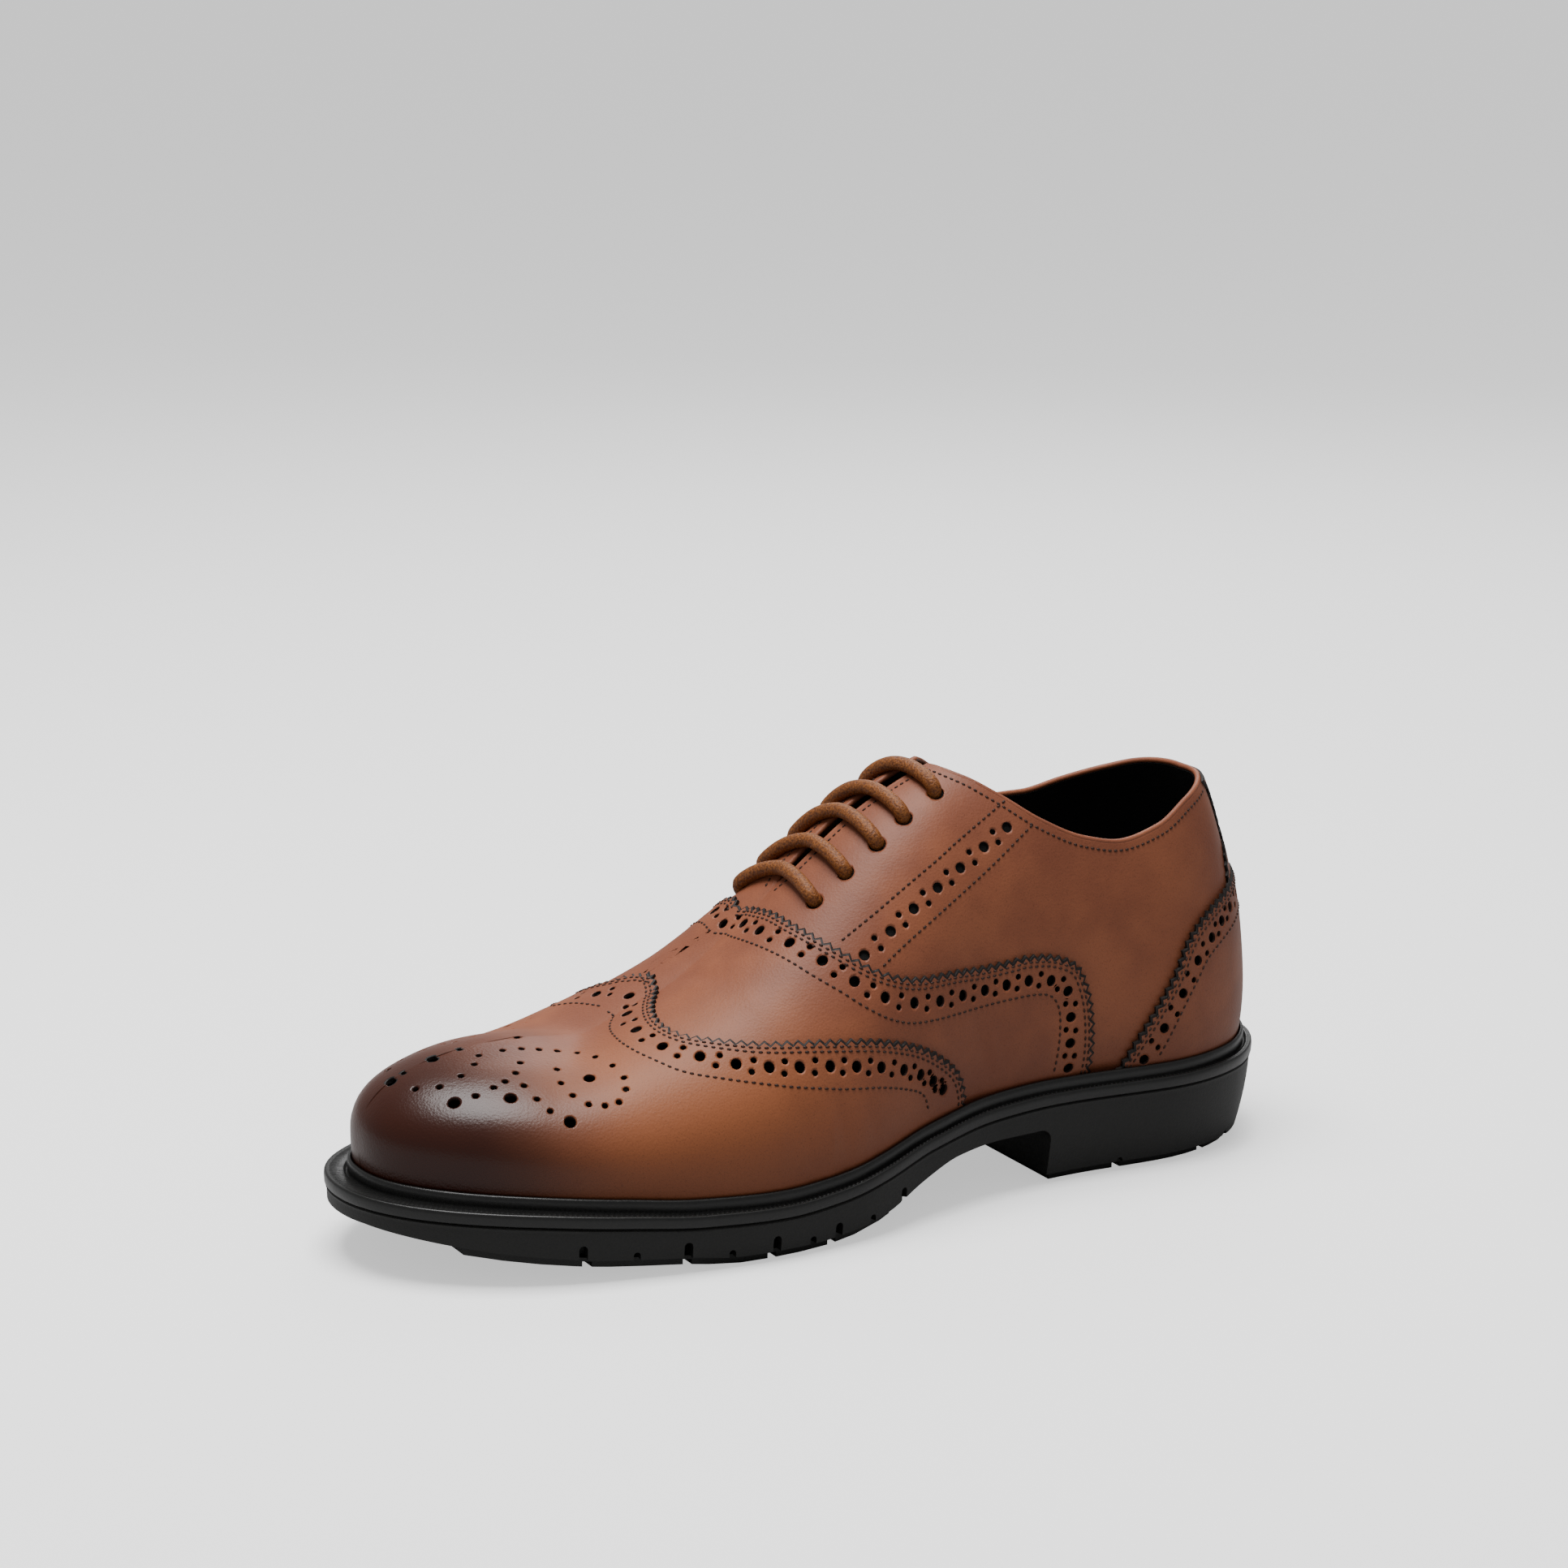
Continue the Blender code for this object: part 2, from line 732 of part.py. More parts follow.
def ring(bm, loops):
    """Join neighbouring closed loops, and the last with the first."""
    for a, b in zip(loops, loops[1:] + loops[:1]):
        for k in range(len(a)):
            n = (k + 1) % len(a)
            bm.faces.new((a[k], a[n], b[n], b[k]))


def make_welt(material):
    bm = bmesh.new()
    loops = []
    for s, side in around():
        over = over_ledge(s)
        foot = skin_out(s, side, 0.0) + GAP
        top = skin_out(s, side, RIM_HEIGHT) + GAP
        layers = 1 + float(np.clip((s - 0.36) / 0.08, 0, 1))
        rim = top + FIT + layers * LEATHER + RIM_THICK
        section = [
            (-SHELF, -WELT_THICK),
            (-SHELF, 0.0),
            (foot, 0.0),
            (top, RIM_HEIGHT),
            (rim - 0.5 * RIM_THICK, RIM_HEIGHT),
            (rim, 0.6 * RIM_HEIGHT),
            (rim, -GROOVE_DEPTH),
            (rim + GROOVE_WIDTH, -GROOVE_DEPTH),
            (rim + 1.4 * GROOVE_WIDTH, 0.0),
            (over - 0.0004, 0.0),
            (over, -0.0006),
            (over, -WELT_THICK),
        ]
        loops.append([bm.verts.new(outline_place(s, side, out, rise)) for out, rise in section])
    ring(bm, loops)
    return finish("welt", bm, material)


def bottom_edge(x):
    """Height of the sole's bottom edge over the floor, ahead of the breast."""
    return TREAD + GAP + ARCH_HEIGHT * float(smooth(ARCH, x / LAST_LENGTH))


def taper(s):
    """How far the sole's side draws in at its foot."""
    return 0.0042 - 0.0030 * min(max((s - 0.25) / 0.25, 0), 1)


def disc(bm, rim_verts, spine_verts):
    """Face between an outline and the middle line of the last."""
    count = len(rim_verts)
    for k in range(count):
        n = (k + 1) % count
        corners = [rim_verts[k], rim_verts[n], spine_verts[n], spine_verts[k]]
        bm.faces.new(list(dict.fromkeys(corners)))


def spine_verts(bm, places, height):
    """Vertices of the middle line, one for each outline share, shared by both sides."""
    made = {}
    found = []
    for s, _ in places:
        if s not in made:
            x, y = crown_point(s)[:2]
            made[s] = bm.verts.new((x, 0.0, height(x)))
        found.append(made[s])
    return found


def block_cutter(outline, low, high):
    """A prism that cuts, drawn in the XZ plane and stretched along Y."""
    bm = bmesh.new()
    face = bm.faces.new([bm.verts.new((x, low, z)) for x, z in outline])
    moved = bmesh.ops.extrude_face_region(bm, geom=[face])["geom"]
    verts = [item for item in moved if isinstance(item, bmesh.types.BMVert)]
    bmesh.ops.translate(bm, verts=verts, vec=(0, high - low, 0))
    return bm


def cutter_object(name, bm):
    bmesh.ops.recalc_face_normals(bm, faces=bm.faces)
    mesh = bpy.data.meshes.new(name)
    bm.to_mesh(mesh)
    bm.free()
    obj = bpy.data.objects.new(name, mesh)
    obj.hide_render = True
    obj.display_type = "WIRE"
    bpy.context.scene.collection.objects.link(obj)
    return obj


def cut(target, cutter):
    modifier = target.modifiers.new(cutter.name, "BOOLEAN")
    modifier.operation = "DIFFERENCE"
    modifier.object = cutter


def arch_outline():
    """Bottom profile of the sole: heel seat, breast with its round corner, waist and forepart."""
    base = TREAD + GAP
    toe = 1.1 * LAST_LENGTH
    roof = bottom_edge(HEEL_LENGTH)
    corner = 0.0035
    points = [(-0.05, -0.02), (-0.05, base), (HEEL_LENGTH, base), (HEEL_LENGTH, roof - corner)]
    for k in range(1, 5):
        turn = 0.5 * math.pi * k / 4
        points.append((HEEL_LENGTH + corner * (1 - math.cos(turn)),
                       roof - corner * (1 - math.sin(turn))))
    first = HEEL_LENGTH + corner + 0.004
    for k in range(27):
        x = first + (1.03 * LAST_LENGTH - first) * k / 26
        points.append((x, bottom_edge(x)))
    points += [(toe, bottom_edge(toe)), (toe, -0.02)]
    return points


def notch_cutter(share, side, size):
    """A slot with a round roof that runs in from the side at the bottom edge."""
    s = solve(lambda t: plan_point(t, side)[0] / LAST_LENGTH - share, 0.2, 0.95)
    edge = plan_point(s, side, over_ledge(s))
    inward = plan_point(s, side, 0.0) - plan_point(s, side, 1.0)
    along = np.array([-inward[1], inward[0]])
    base = bottom_edge(edge[0]) - 0.002
    height = NOTCH_HEIGHT * size + 0.002
    half = 0.5 * NOTCH_WIDTH * (0.6 + 0.4 * size)
    profile = [(-half, 0.0), (half, 0.0)]
    for k in range(5):
        turn = math.pi * k / 4
        profile.append((half * math.cos(turn), height - half + half * math.sin(turn)))
    bm = bmesh.new()
    rings = []
    for depth in (-0.003, NOTCH_DEPTH):
        rings.append([bm.verts.new((*(edge + inward * depth + along * a), base + b)) for a, b in profile])
    bm.faces.new(rings[0])
    bm.faces.new(rings[1][::-1])
    for k in range(len(profile)):
        n = (k + 1) % len(profile)
        bm.faces.new((rings[0][k], rings[0][n], rings[1][n], rings[1][k]))
    return bm


def make_outsole(material):
    """Moulded rubber unit: forepart, waist and heel in one, stepped up inside the welt."""
    bm = bmesh.new()
    places = around()
    levels = []
    for out, rise, floor in (
        (lambda s: -SHELF - GAP, 0.0, None),
        (lambda s: -SHELF - GAP, -WELT_THICK - GAP, None),
        (lambda s: over_ledge(s) - 0.0004, -WELT_THICK - GAP, None),
        (lambda s: over_ledge(s) - 0.0004 - 0.25 * taper(s), None, 0.55),
        (lambda s: over_ledge(s) - 0.0004 - taper(s), None, 0.0),
    ):
        level = []
        for s, side in places:
            point = outline_place(s, side, out(s), rise or 0.0)
            if floor is not None:
                point.z = floor * (point.z - WELT_THICK - GAP)
            level.append(bm.verts.new(point))
        levels.append(level)
    disc(bm, levels[0], spine_verts(bm, places, lambda x: float(ledge_height(x))))
    for a, b in zip(levels, levels[1:]):
        for k in range(len(a)):
            n = (k + 1) % len(a)
            bm.faces.new((a[k], a[n], b[n], b[k]))
    disc(bm, levels[-1], spine_verts(bm, places, lambda x: 0.0))
    outsole = finish("outsole", bm, material)
    for side in (0, 1):
        for row, (share, size) in enumerate(NOTCHES):
            bm = notch_cutter(share, side, size)
            bmesh.ops.translate(bm, verts=bm.verts, vec=SHIFT)
            cut(outsole, cutter_object(f"notch_{side}_{row}", bm))
    arch = block_cutter(arch_outline(), -0.2, 0.2)
    bmesh.ops.translate(arch, verts=arch.verts, vec=SHIFT)
    cut(outsole, cutter_object("arch_cutter", arch))
    return outsole


def bottom_outline():
    """Outline of the sole's foot in plan, both sides, as dense points."""
    sides = []
    for side in (0, 1):
        points = [ledge_point(s, side, -0.0004 - taper(s)) for s in np.linspace(0, 1, 241)]
        sides.append(np.array(points))
    return sides


def make_tread(name, first, last, channels, material):
    """Thin inset tread under the sole, with channels across it."""
    inner, outer = bottom_outline()
    cuts = [(x, 0.0) for x in np.linspace(first, last, 15)]
    for x in channels:
        cuts = [c for c in cuts if abs(c[0] - x) > 0.75 * CHANNEL]
        cuts += [(x - 0.5 * CHANNEL, 0.0), (x - 0.5 * CHANNEL + 2e-5, CHANNEL_DEPTH),
                 (x + 0.5 * CHANNEL - 2e-5, CHANNEL_DEPTH), (x + 0.5 * CHANNEL, 0.0)]
    bm = bmesh.new()
    loops = []
    for x, up in sorted(cuts):
        base = bottom_edge(x) if x > HEEL_LENGTH else TREAD + GAP
        left = float(np.interp(x, inner[:, 0], inner[:, 1])) + TREAD_INSET
        right = float(np.interp(x, outer[:, 0], outer[:, 1])) - TREAD_INSET
        section = [(left, base - TREAD - GAP + up), (right, base - TREAD - GAP + up),
                   (right, base - GAP), (left, base - GAP)]
        loops.append([bm.verts.new((x, y, z)) for y, z in section])
    for a, b in zip(loops, loops[1:]):
        for k in range(4):
            n = (k + 1) % 4
            bm.faces.new((a[k], a[n], b[n], b[k]))
    bm.faces.new(loops[0])
    bm.faces.new(loops[-1][::-1])
    return finish(name, bm, material)


def make_insole(material):
    bm = bmesh.new()
    places = around()
    rims = []
    for rise in (GAP, GAP + INSOLE_THICK):
        rims.append([bm.verts.new(outline_place(s, side, -WALL - 2 * GAP, rise)) for s, side in places])
        disc(bm, rims[-1], spine_verts(bm, places, lambda x: float(ledge_height(x)) + rise))
    for k in range(len(places)):
        n = (k + 1) % len(places)
        bm.faces.new((rims[0][k], rims[0][n], rims[1][n], rims[1][k]))
    return finish("insole", bm, material)


def build():
    for obj in list(bpy.data.objects):
        bpy.data.objects.remove(obj, do_unlink=True)
    materials = {name: plain_material(name) for name in COLORS}
    make_outsole(materials["rubber"])
    make_welt(materials["rubber"])
    heel_end = HEEL_LENGTH - TREAD_INSET
    first = -0.6 * WELT_WIDTH + TREAD_INSET + taper(0)
    make_tread("heel_tread", first + 0.004, heel_end, (0.30 * HEEL_LENGTH, 0.68 * HEEL_LENGTH),
               materials["rubber"])
    channels = [share * LAST_LENGTH for share, size in NOTCHES if size > 0.7]
    make_tread("forepart_tread", 0.49 * LAST_LENGTH, 0.955 * LAST_LENGTH, channels,
               materials["rubber"])
    make_insole(materials["lining"])
    make_upper(materials["leather"])
    make_wing_cap(materials["overlay"])
    make_vamp_overlay(materials["overlay"])
    make_heel_counter(materials["overlay"])
    make_back_strap(materials["overlay"])
    make_tongue(materials["lining"])
    for index in range(LACE_BARS):
        make_lace_bar(index, materials["lace"])


build()
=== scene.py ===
# %% [markdown]
# # A brogue shoe, dressed over its imported solids
#
# A brogue is a low lace shoe of thick calf leather. Its panels are cut from flat hides, their edges
# are nipped into small teeth, and rows of holes are punched through them before they are stitched
# one over the other on a wooden last. The solids already give the size of every panel. This lesson
# cuts the same panels again as thin sheets, with their teeth, holes and stitches, and lays them on
# the last. The first step loads the solids, which nothing here moves.

# %% Load the imported shoe
import math
from functools import lru_cache

import bmesh
import bpy
import numpy as np
from mathutils import Matrix, Vector
from mathutils.kdtree import KDTree


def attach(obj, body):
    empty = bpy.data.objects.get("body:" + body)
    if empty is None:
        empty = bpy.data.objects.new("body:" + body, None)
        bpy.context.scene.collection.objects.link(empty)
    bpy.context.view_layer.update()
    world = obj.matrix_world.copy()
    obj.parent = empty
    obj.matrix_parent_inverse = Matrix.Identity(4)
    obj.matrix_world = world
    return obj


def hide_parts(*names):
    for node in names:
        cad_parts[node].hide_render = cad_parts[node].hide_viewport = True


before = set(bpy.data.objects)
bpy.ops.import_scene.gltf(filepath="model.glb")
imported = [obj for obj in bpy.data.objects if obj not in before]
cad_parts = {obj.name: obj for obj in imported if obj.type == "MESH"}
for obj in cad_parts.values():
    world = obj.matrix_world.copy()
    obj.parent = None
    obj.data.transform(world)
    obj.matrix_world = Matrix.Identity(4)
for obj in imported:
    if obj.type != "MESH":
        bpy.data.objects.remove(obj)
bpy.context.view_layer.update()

# %% [markdown]
# ## The camera
#
# The photograph was taken from the outer side, a little in front of the toe, from low down and with
# a long lens. The camera is set first, so that each piece can be looked at from the right place.
# The view is given as an azimuth round the shoe and an elevation over the floor, which is easier to
# change by hand than a matrix.

# %% Camera
VIEW_AZIMUTH = math.radians(151.2)
VIEW_ELEVATION = math.radians(13.5)
VIEW_ROLL = math.radians(0.4)
VIEW_DISTANCE = 1.497
VIEW_TARGET = Vector((-0.1515, -0.2948, 0.0400))
LENS = 93.17

back = Vector((math.sin(VIEW_AZIMUTH) * math.cos(VIEW_ELEVATION),
               -math.cos(VIEW_AZIMUTH) * math.cos(VIEW_ELEVATION), math.sin(VIEW_ELEVATION)))
camera_data = bpy.data.cameras.new("camera")
camera_data.lens = LENS
camera_data.sensor_width = 36.0
camera_data.clip_start = 0.05
camera = bpy.data.objects.new("camera", camera_data)
bpy.context.scene.collection.objects.link(camera)
camera.location = VIEW_TARGET + back * VIEW_DISTANCE
turned = back.to_track_quat("Z", "Y") @ Matrix.Rotation(VIEW_ROLL, 4, "Z").to_quaternion()
camera.rotation_euler = turned.to_euler()
bpy.context.scene.camera = camera
print("camera stands at", [round(v, 3) for v in camera.location])

# %% [markdown]
# ## The last
#
# A shoemaker pulls the leather over a last, a wooden foot. Every panel gets its form from it. Here
# the last is a family of ribs: each rib starts at the feather line, the sharp edge round the sole,
# and climbs to the crown of the foot. The tables below give its plan, its profile and its ribs as
# shares of a few real sizes. They are the tables that the solids were made from, so a panel that is
# laid on this last falls on its solid.

# %% Sizes of the last and its tables
LAST_LENGTH = 0.2800      # feather line, heel back to toe tip
BALL_WIDTH = 0.0915       # feather line across the ball
CONE_HEIGHT = 0.100       # ledge to the top of the instep cone
BACK_HEIGHT = 0.080       # ledge to the topline at the heel back
LEDGE_HEIGHT = 0.0275     # floor to the welt's ledge at the heel
ARCH_HEIGHT = 0.0150      # rise of the waist over the forepart's bottom edge
TREAD = 0.0026            # thickness of the inset treads
WELT_WIDTH = 0.0115        # ledge beyond the feather line at the toe
WELT_THICK = 0.0033       # ledge down to the step line of the side
RIM_HEIGHT = 0.0038       # storm rim above the ledge
RIM_THICK = 0.0010        # storm rim beyond the leather that it hugs
GROOVE_WIDTH = 0.0006     # groove between rim and ledge
GROOVE_DEPTH = 0.0009
SHELF = 0.0090            # welt inside the feather line
WALL = 0.0020             # leather and lining of the upper
LEATHER = 0.0010          # an overlay's thickness
INSOLE_THICK = 0.0030
GAP = 0.0003              # pieces that meet
FIT = 0.0005              # overlays over the faceted upper
THROAT_GAP = 0.0090       # between the facings at the top
HEEL_LENGTH = 0.0830      # heel back of the last to the breast
NOTCH_WIDTH = 0.0025
NOTCH_HEIGHT = 0.0046
NOTCH_DEPTH = 0.0060

# Breadth of the feather line either side of the long axis, as shares of BALL_WIDTH
PLAN = np.array([
    # along  inner  outer
    [0.00, 0.285, 0.290],
    [0.06, 0.335, 0.350],
    [0.15, 0.350, 0.370],
    [0.27, 0.322, 0.356],
    [0.36, 0.292, 0.366],
    [0.46, 0.305, 0.432],
    [0.56, 0.372, 0.518],
    [0.65, 0.440, 0.537],
    [0.73, 0.463, 0.512],
    [0.82, 0.438, 0.458],
    [0.91, 0.375, 0.400],
    [1.00, 0.300, 0.330],
])
HEEL_ROUND = 0.16         # share of the length that each end's rounding takes
TOE_ROUND = 0.20
ROUND_POWER = 2.4

# The middle line that the ribs of the last run to: outline share, place along the last
SPINE = np.array([
    [0.00, 0.130],
    [0.12, 0.150],
    [0.20, 0.200],
    [0.30, 0.290],
    [0.50, 0.480],
    [0.70, 0.670],
    [0.80, 0.755],
    [0.88, 0.812],
    [1.00, 0.840],
])

# Profile along the last: height of the crown above the ledge as a share of CONE_HEIGHT, and the
# crown's shift to the outer side as a share of BALL_WIDTH
CROWN = np.array([
    # along  height  shift
    [0.13, 1.120, 0.000],
    [0.25, 1.060, -0.005],
    [0.34, 0.985, -0.010],
    [0.40, 0.930, -0.015],
    [0.47, 0.845, -0.025],
    [0.55, 0.705, -0.030],
    [0.62, 0.562, -0.025],
    [0.70, 0.434, -0.015],
    [0.78, 0.350, -0.005],
    [0.84, 0.352, 0.000],
])

# Ribs by outline share: bulge over the feather line and height of the widest line, as shares of
# BALL_WIDTH, and fullness of the curve above it (2 is an ellipse)
RIBS = np.array([
    # share  bulge in  out    height in  out    fullness in  out
    [0.00, 0.015, 0.015, 0.180, 0.180, 1.55, 1.55],
    [0.12, 0.020, 0.020, 0.180, 0.180, 1.90, 1.90],
    [0.25, 0.030, 0.034, 0.190, 0.190, 2.05, 2.00],
    [0.40, 0.038, 0.038, 0.200, 0.180, 2.15, 2.15],
    [0.55, 0.034, 0.032, 0.170, 0.140, 1.95, 1.88],
    [0.70, 0.028, 0.028, 0.140, 0.120, 2.10, 2.00],
    [0.85, 0.022, 0.022, 0.125, 0.120, 2.20, 2.15],
    [1.00, 0.016, 0.016, 0.125, 0.125, 2.30, 2.30],
])
LOW_ARC = math.radians(60)

# Floor to the ledge, as a share of LEDGE_HEIGHT
LEDGE = np.array([
    [-0.02, 1.035],
    [0.14, 1.020],
    [0.29, 1.030],
    [0.38, 0.980],
    [0.45, 0.885],
    [0.52, 0.730],
    [0.58, 0.615],
    [0.64, 0.570],
    [0.73, 0.595],
    [0.81, 0.670],
    [0.90, 0.755],
    [1.03, 0.825],
])

# Ledge beyond the feather line by outline share, as a share of WELT_WIDTH
OVERHANG = np.array([
    [0.00, 0.543],
    [0.25, 0.554],
    [0.42, 0.620],
    [0.60, 0.707],
    [0.80, 0.860],
    [1.00, 1.000],
])

# Bottom edge of the sole's side ahead of the breast, above the treads, as a share of ARCH_HEIGHT
ARCH = np.array([
    [0.25, 0.990],
    [0.36, 0.970],
    [0.42, 0.890],
    [0.47, 0.600],
    [0.52, 0.240],
    [0.57, 0.060],
    [0.61, 0.000],
    [0.69, 0.000],
    [0.75, 0.120],
    [0.82, 0.220],
    [0.90, 0.400],
    [1.03, 0.800],
])

# Topline by place along the last: height above the ledge as a share of BACK_HEIGHT
TOPLINE = np.array([
    # along  inner  outer
    [-0.02, 1.030, 1.030],
    [0.05, 1.035, 1.035],
    [0.10, 0.995, 0.990],
    [0.15, 0.955, 0.915],
    [0.20, 0.920, 0.880],
    [0.24, 0.920, 0.905],
    [0.29, 0.985, 0.985],
    [0.33, 1.085, 1.085],
    [0.36, 1.155, 1.155],
    [0.385, 1.190, 1.190],
    [0.60, 1.190, 1.190],
])

THROAT_END = 0.545        # front end of the throat, along the last
FACING_TOP = 0.300        # ribs behind this end at the topline alone

# Notches in the bottom edge of the side, by outline place along the last, and their size as a share
NOTCHES = np.array([
    [0.505, 0.8],
    [0.545, 0.5],
    [0.585, 0.9],
    [0.615, 0.5],
    [0.655, 1.0],
    [0.700, 0.5],
    [0.745, 1.0],
    [0.795, 0.5],
    [0.845, 0.9],
])
print("sole is about", round(1000 * (LAST_LENGTH + 1.5 * WELT_WIDTH)), "mm long")

# %% A smooth curve through a table
def smooth(table, x, column=1):
    """A smooth curve through a table's column, without overshoot between its rows."""
    xs, ys = table[:, 0], table[:, column]
    x = np.clip(np.asarray(x, float), xs[0], xs[-1])
    step = np.diff(xs)
    slope = np.diff(ys) / step
    tangent = np.zeros(len(xs))
    tangent[0], tangent[-1] = slope[0], slope[-1]
    for i in range(1, len(xs) - 1):
        if slope[i - 1] * slope[i] > 0:
            w1, w2 = 2 * step[i] + step[i - 1], step[i] + 2 * step[i - 1]
            tangent[i] = (w1 + w2) / (w1 / slope[i - 1] + w2 / slope[i])
    i = np.clip(np.searchsorted(xs, x, side="right") - 1, 0, len(step) - 1)
    t = (x - xs[i]) / step[i]
    return ((1 + 2 * t) * (1 - t) ** 2 * ys[i] + t * (1 - t) ** 2 * step[i] * tangent[i]
            + t * t * (3 - 2 * t) * ys[i + 1] + t * t * (t - 1) * step[i] * tangent[i + 1])


# %% [markdown]
# The plan of the feather line is walked once for each side, by length, so that a share of its
# length names a place on it. The ribs follow from the plan and from the crown. Each rib turns in
# under its widest line and closes over the foot along a curve a little fuller than an ellipse.

# %% Plan and ribs
def plan_breadth(along, side):
    """Distance of the feather line from the long axis."""
    heel = np.clip((HEEL_ROUND - along) / HEEL_ROUND, 0, 1)
    toe = np.clip((along - 1 + TOE_ROUND) / TOE_ROUND, 0, 1)
    ends = (1 - heel ** ROUND_POWER) * (1 - toe ** ROUND_POWER)
    return BALL_WIDTH * smooth(PLAN, along, 1 + side) * ends ** (1 / ROUND_POWER)


@lru_cache(None)
def plan_walk(side):
    """Points of one side's feather line and their share of its length."""
    along = 0.5 - 0.5 * np.cos(np.linspace(0, math.pi, 1201))
    sign = 1 if side else -1
    points = np.stack([along * LAST_LENGTH, sign * plan_breadth(along, side)], -1)
    length = np.concatenate([[0], np.cumsum(np.linalg.norm(np.diff(points, axis=0), axis=1))])
    return points, length / length[-1]


def plan_point(share, side, out=0.0):
    """Point of the feather line at a share of its length, moved outwards by out."""
    points, lengths = plan_walk(side)
    at = np.array([np.interp(share, lengths, points[:, k]) for k in range(2)])
    if out == 0.0:
        return at
    ahead = np.array([np.interp(min(share + 0.004, 1), lengths, points[:, k]) for k in range(2)])
    behind = np.array([np.interp(max(share - 0.004, 0), lengths, points[:, k]) for k in range(2)])
    if share < 0.002:
        return at + (-out, 0)
    if share > 0.998:
        return at + (out, 0)
    run = (ahead - behind) / np.linalg.norm(ahead - behind)
    sign = 1 if side else -1
    return at + out * sign * np.array([-run[1], run[0]])


def ledge_height(x):
    return LEDGE_HEIGHT * smooth(LEDGE, x / LAST_LENGTH)


def crown_point(share):
    """Top of the rib: where both sides of the last meet."""
    along = float(smooth(SPINE, share))
    height = CONE_HEIGHT * smooth(CROWN, along, 1)
    x = along * LAST_LENGTH
    return np.array([x, BALL_WIDTH * float(smooth(CROWN, along, 2)), float(ledge_height(x) + height)])


@lru_cache(None)
def rib(share, side):
    """One rib of the last, from feather line to crown, and the share of its length at each point."""
    foot = plan_point(share, side)
    top = crown_point(share)
    floor = float(ledge_height(foot[0])) + GAP
    reach = np.linalg.norm(top[:2] - foot)
    heading = (top[:2] - foot) / reach
    bulge = BALL_WIDTH * float(smooth(RIBS, share, 1 + side))
    wide = BALL_WIDTH * float(smooth(RIBS, share, 3 + side))
    full = float(smooth(RIBS, share, 5 + side))
    low = np.linspace(-LOW_ARC, 0, 13)[:-1]
    low_in = -bulge * (np.cos(low) - math.cos(LOW_ARC)) / (1 - math.cos(LOW_ARC))
    low_up = wide * (1 + np.sin(low) / math.sin(LOW_ARC))
    high = np.linspace(0, math.pi / 2, 61)
    high_in = reach - (reach + bulge) * np.cos(high) ** (2 / full)
    high_up = wide + (top[2] - floor - wide) * np.sin(high) ** (2 / full)
    inward = np.concatenate([low_in, high_in])
    rise = np.concatenate([low_up, high_up])
    points = np.stack([foot[0] + heading[0] * inward, foot[1] + heading[1] * inward, floor + rise], -1)
    length = np.concatenate([[0], np.cumsum(np.linalg.norm(np.diff(points, axis=0), axis=1))])
    return points, length / length[-1]


def bare(share, side, h):
    """Last surface at outline share and rib share h, carried on past heel, toe and crown."""
    if share < 0:
        share, side = -share, 1 - side
    if share > 1:
        share, side = 2 - share, 1 - side
    if h > 1:
        h, side = 2 - h, 1 - side
    points, lengths = rib(round(share, 6), side)
    return np.array([np.interp(h, lengths, points[:, k]) for k in range(3)])


# %% Where the leather ends: topline, facing edge and the ledge of the welt
def solve(f, low, high):
    """Root of a rising function between low and high, or high where it stays below zero."""
    if f(high) < 0:
        return high
    for _ in range(30):
        middle = 0.5 * (low + high)
        if f(middle) < 0:
            low = middle
        else:
            high = middle
    return 0.5 * (low + high)


def topline(x, side):
    return float(ledge_height(x)) + BACK_HEIGHT * float(smooth(TOPLINE, x / LAST_LENGTH, 1 + side))


def half_gap(x):
    """Half of the throat's gap, from nothing at its front end."""
    behind = (THROAT_END - x / LAST_LENGTH) * LAST_LENGTH
    if behind <= 0:
        return 0.0
    widen = 0.45 + 0.55 * min(behind / (THROAT_END * LAST_LENGTH * 0.3), 1)
    return 0.5 * THROAT_GAP * widen * min(1, behind / 0.004) ** 0.5


def rib_top(share, side):
    """Share of the rib at which the upper ends: crown, facing edge or topline."""
    if share in (0, 1):
        side = 0

    def over_topline(h):
        at = bare(share, side, h)
        return at[2] - topline(at[0], side)

    def over_gap(h):
        at = bare(share, side, h)
        middle = BALL_WIDTH * float(smooth(CROWN, at[0] / LAST_LENGTH, 2))
        return half_gap(at[0]) - abs(at[1] - middle)

    top = solve(over_topline, 0.3, 1.0)
    if not FACING_TOP < crown_point(share)[0] / LAST_LENGTH < THROAT_END - 1e-6:
        return top
    return min(top, solve(over_gap, 0.3, 1.0))


def share_of_crown(along):
    """Outline share whose rib reaches the crown at a place along the last."""
    return solve(lambda s: float(smooth(SPINE, s)) - along, 0.0, 1.0)


def ledge_point(share, side, out=0.0):
    """Point of the ledge's outer edge in plan."""
    over = WELT_WIDTH * float(smooth(OVERHANG, share))
    return plan_point(share, side, over + out)


def frame_shift():
    rim = np.array([ledge_point(s, side) for side in (0, 1) for s in np.linspace(0, 1, 201)])
    middle = 0.5 * (rim.min(0) + rim.max(0))
    return Vector((-middle[0], -middle[1], 0))


# %% [markdown]
# Thousands of teeth, holes and stitches have to be placed on the last, so it is measured once on a
# fine grid. From here on a place on the shoe is two numbers. The first, s, runs round the feather
# line from the heel (0) to the toe (1), and below 0 it goes on along the inner side. The second, w,
# climbs the outer side from the feather line (0) to the crown (1) and goes down the inner side (2).

# %% The last on a grid
SHIFT = np.array(frame_shift())
COLUMNS, LEVELS = 361, 181


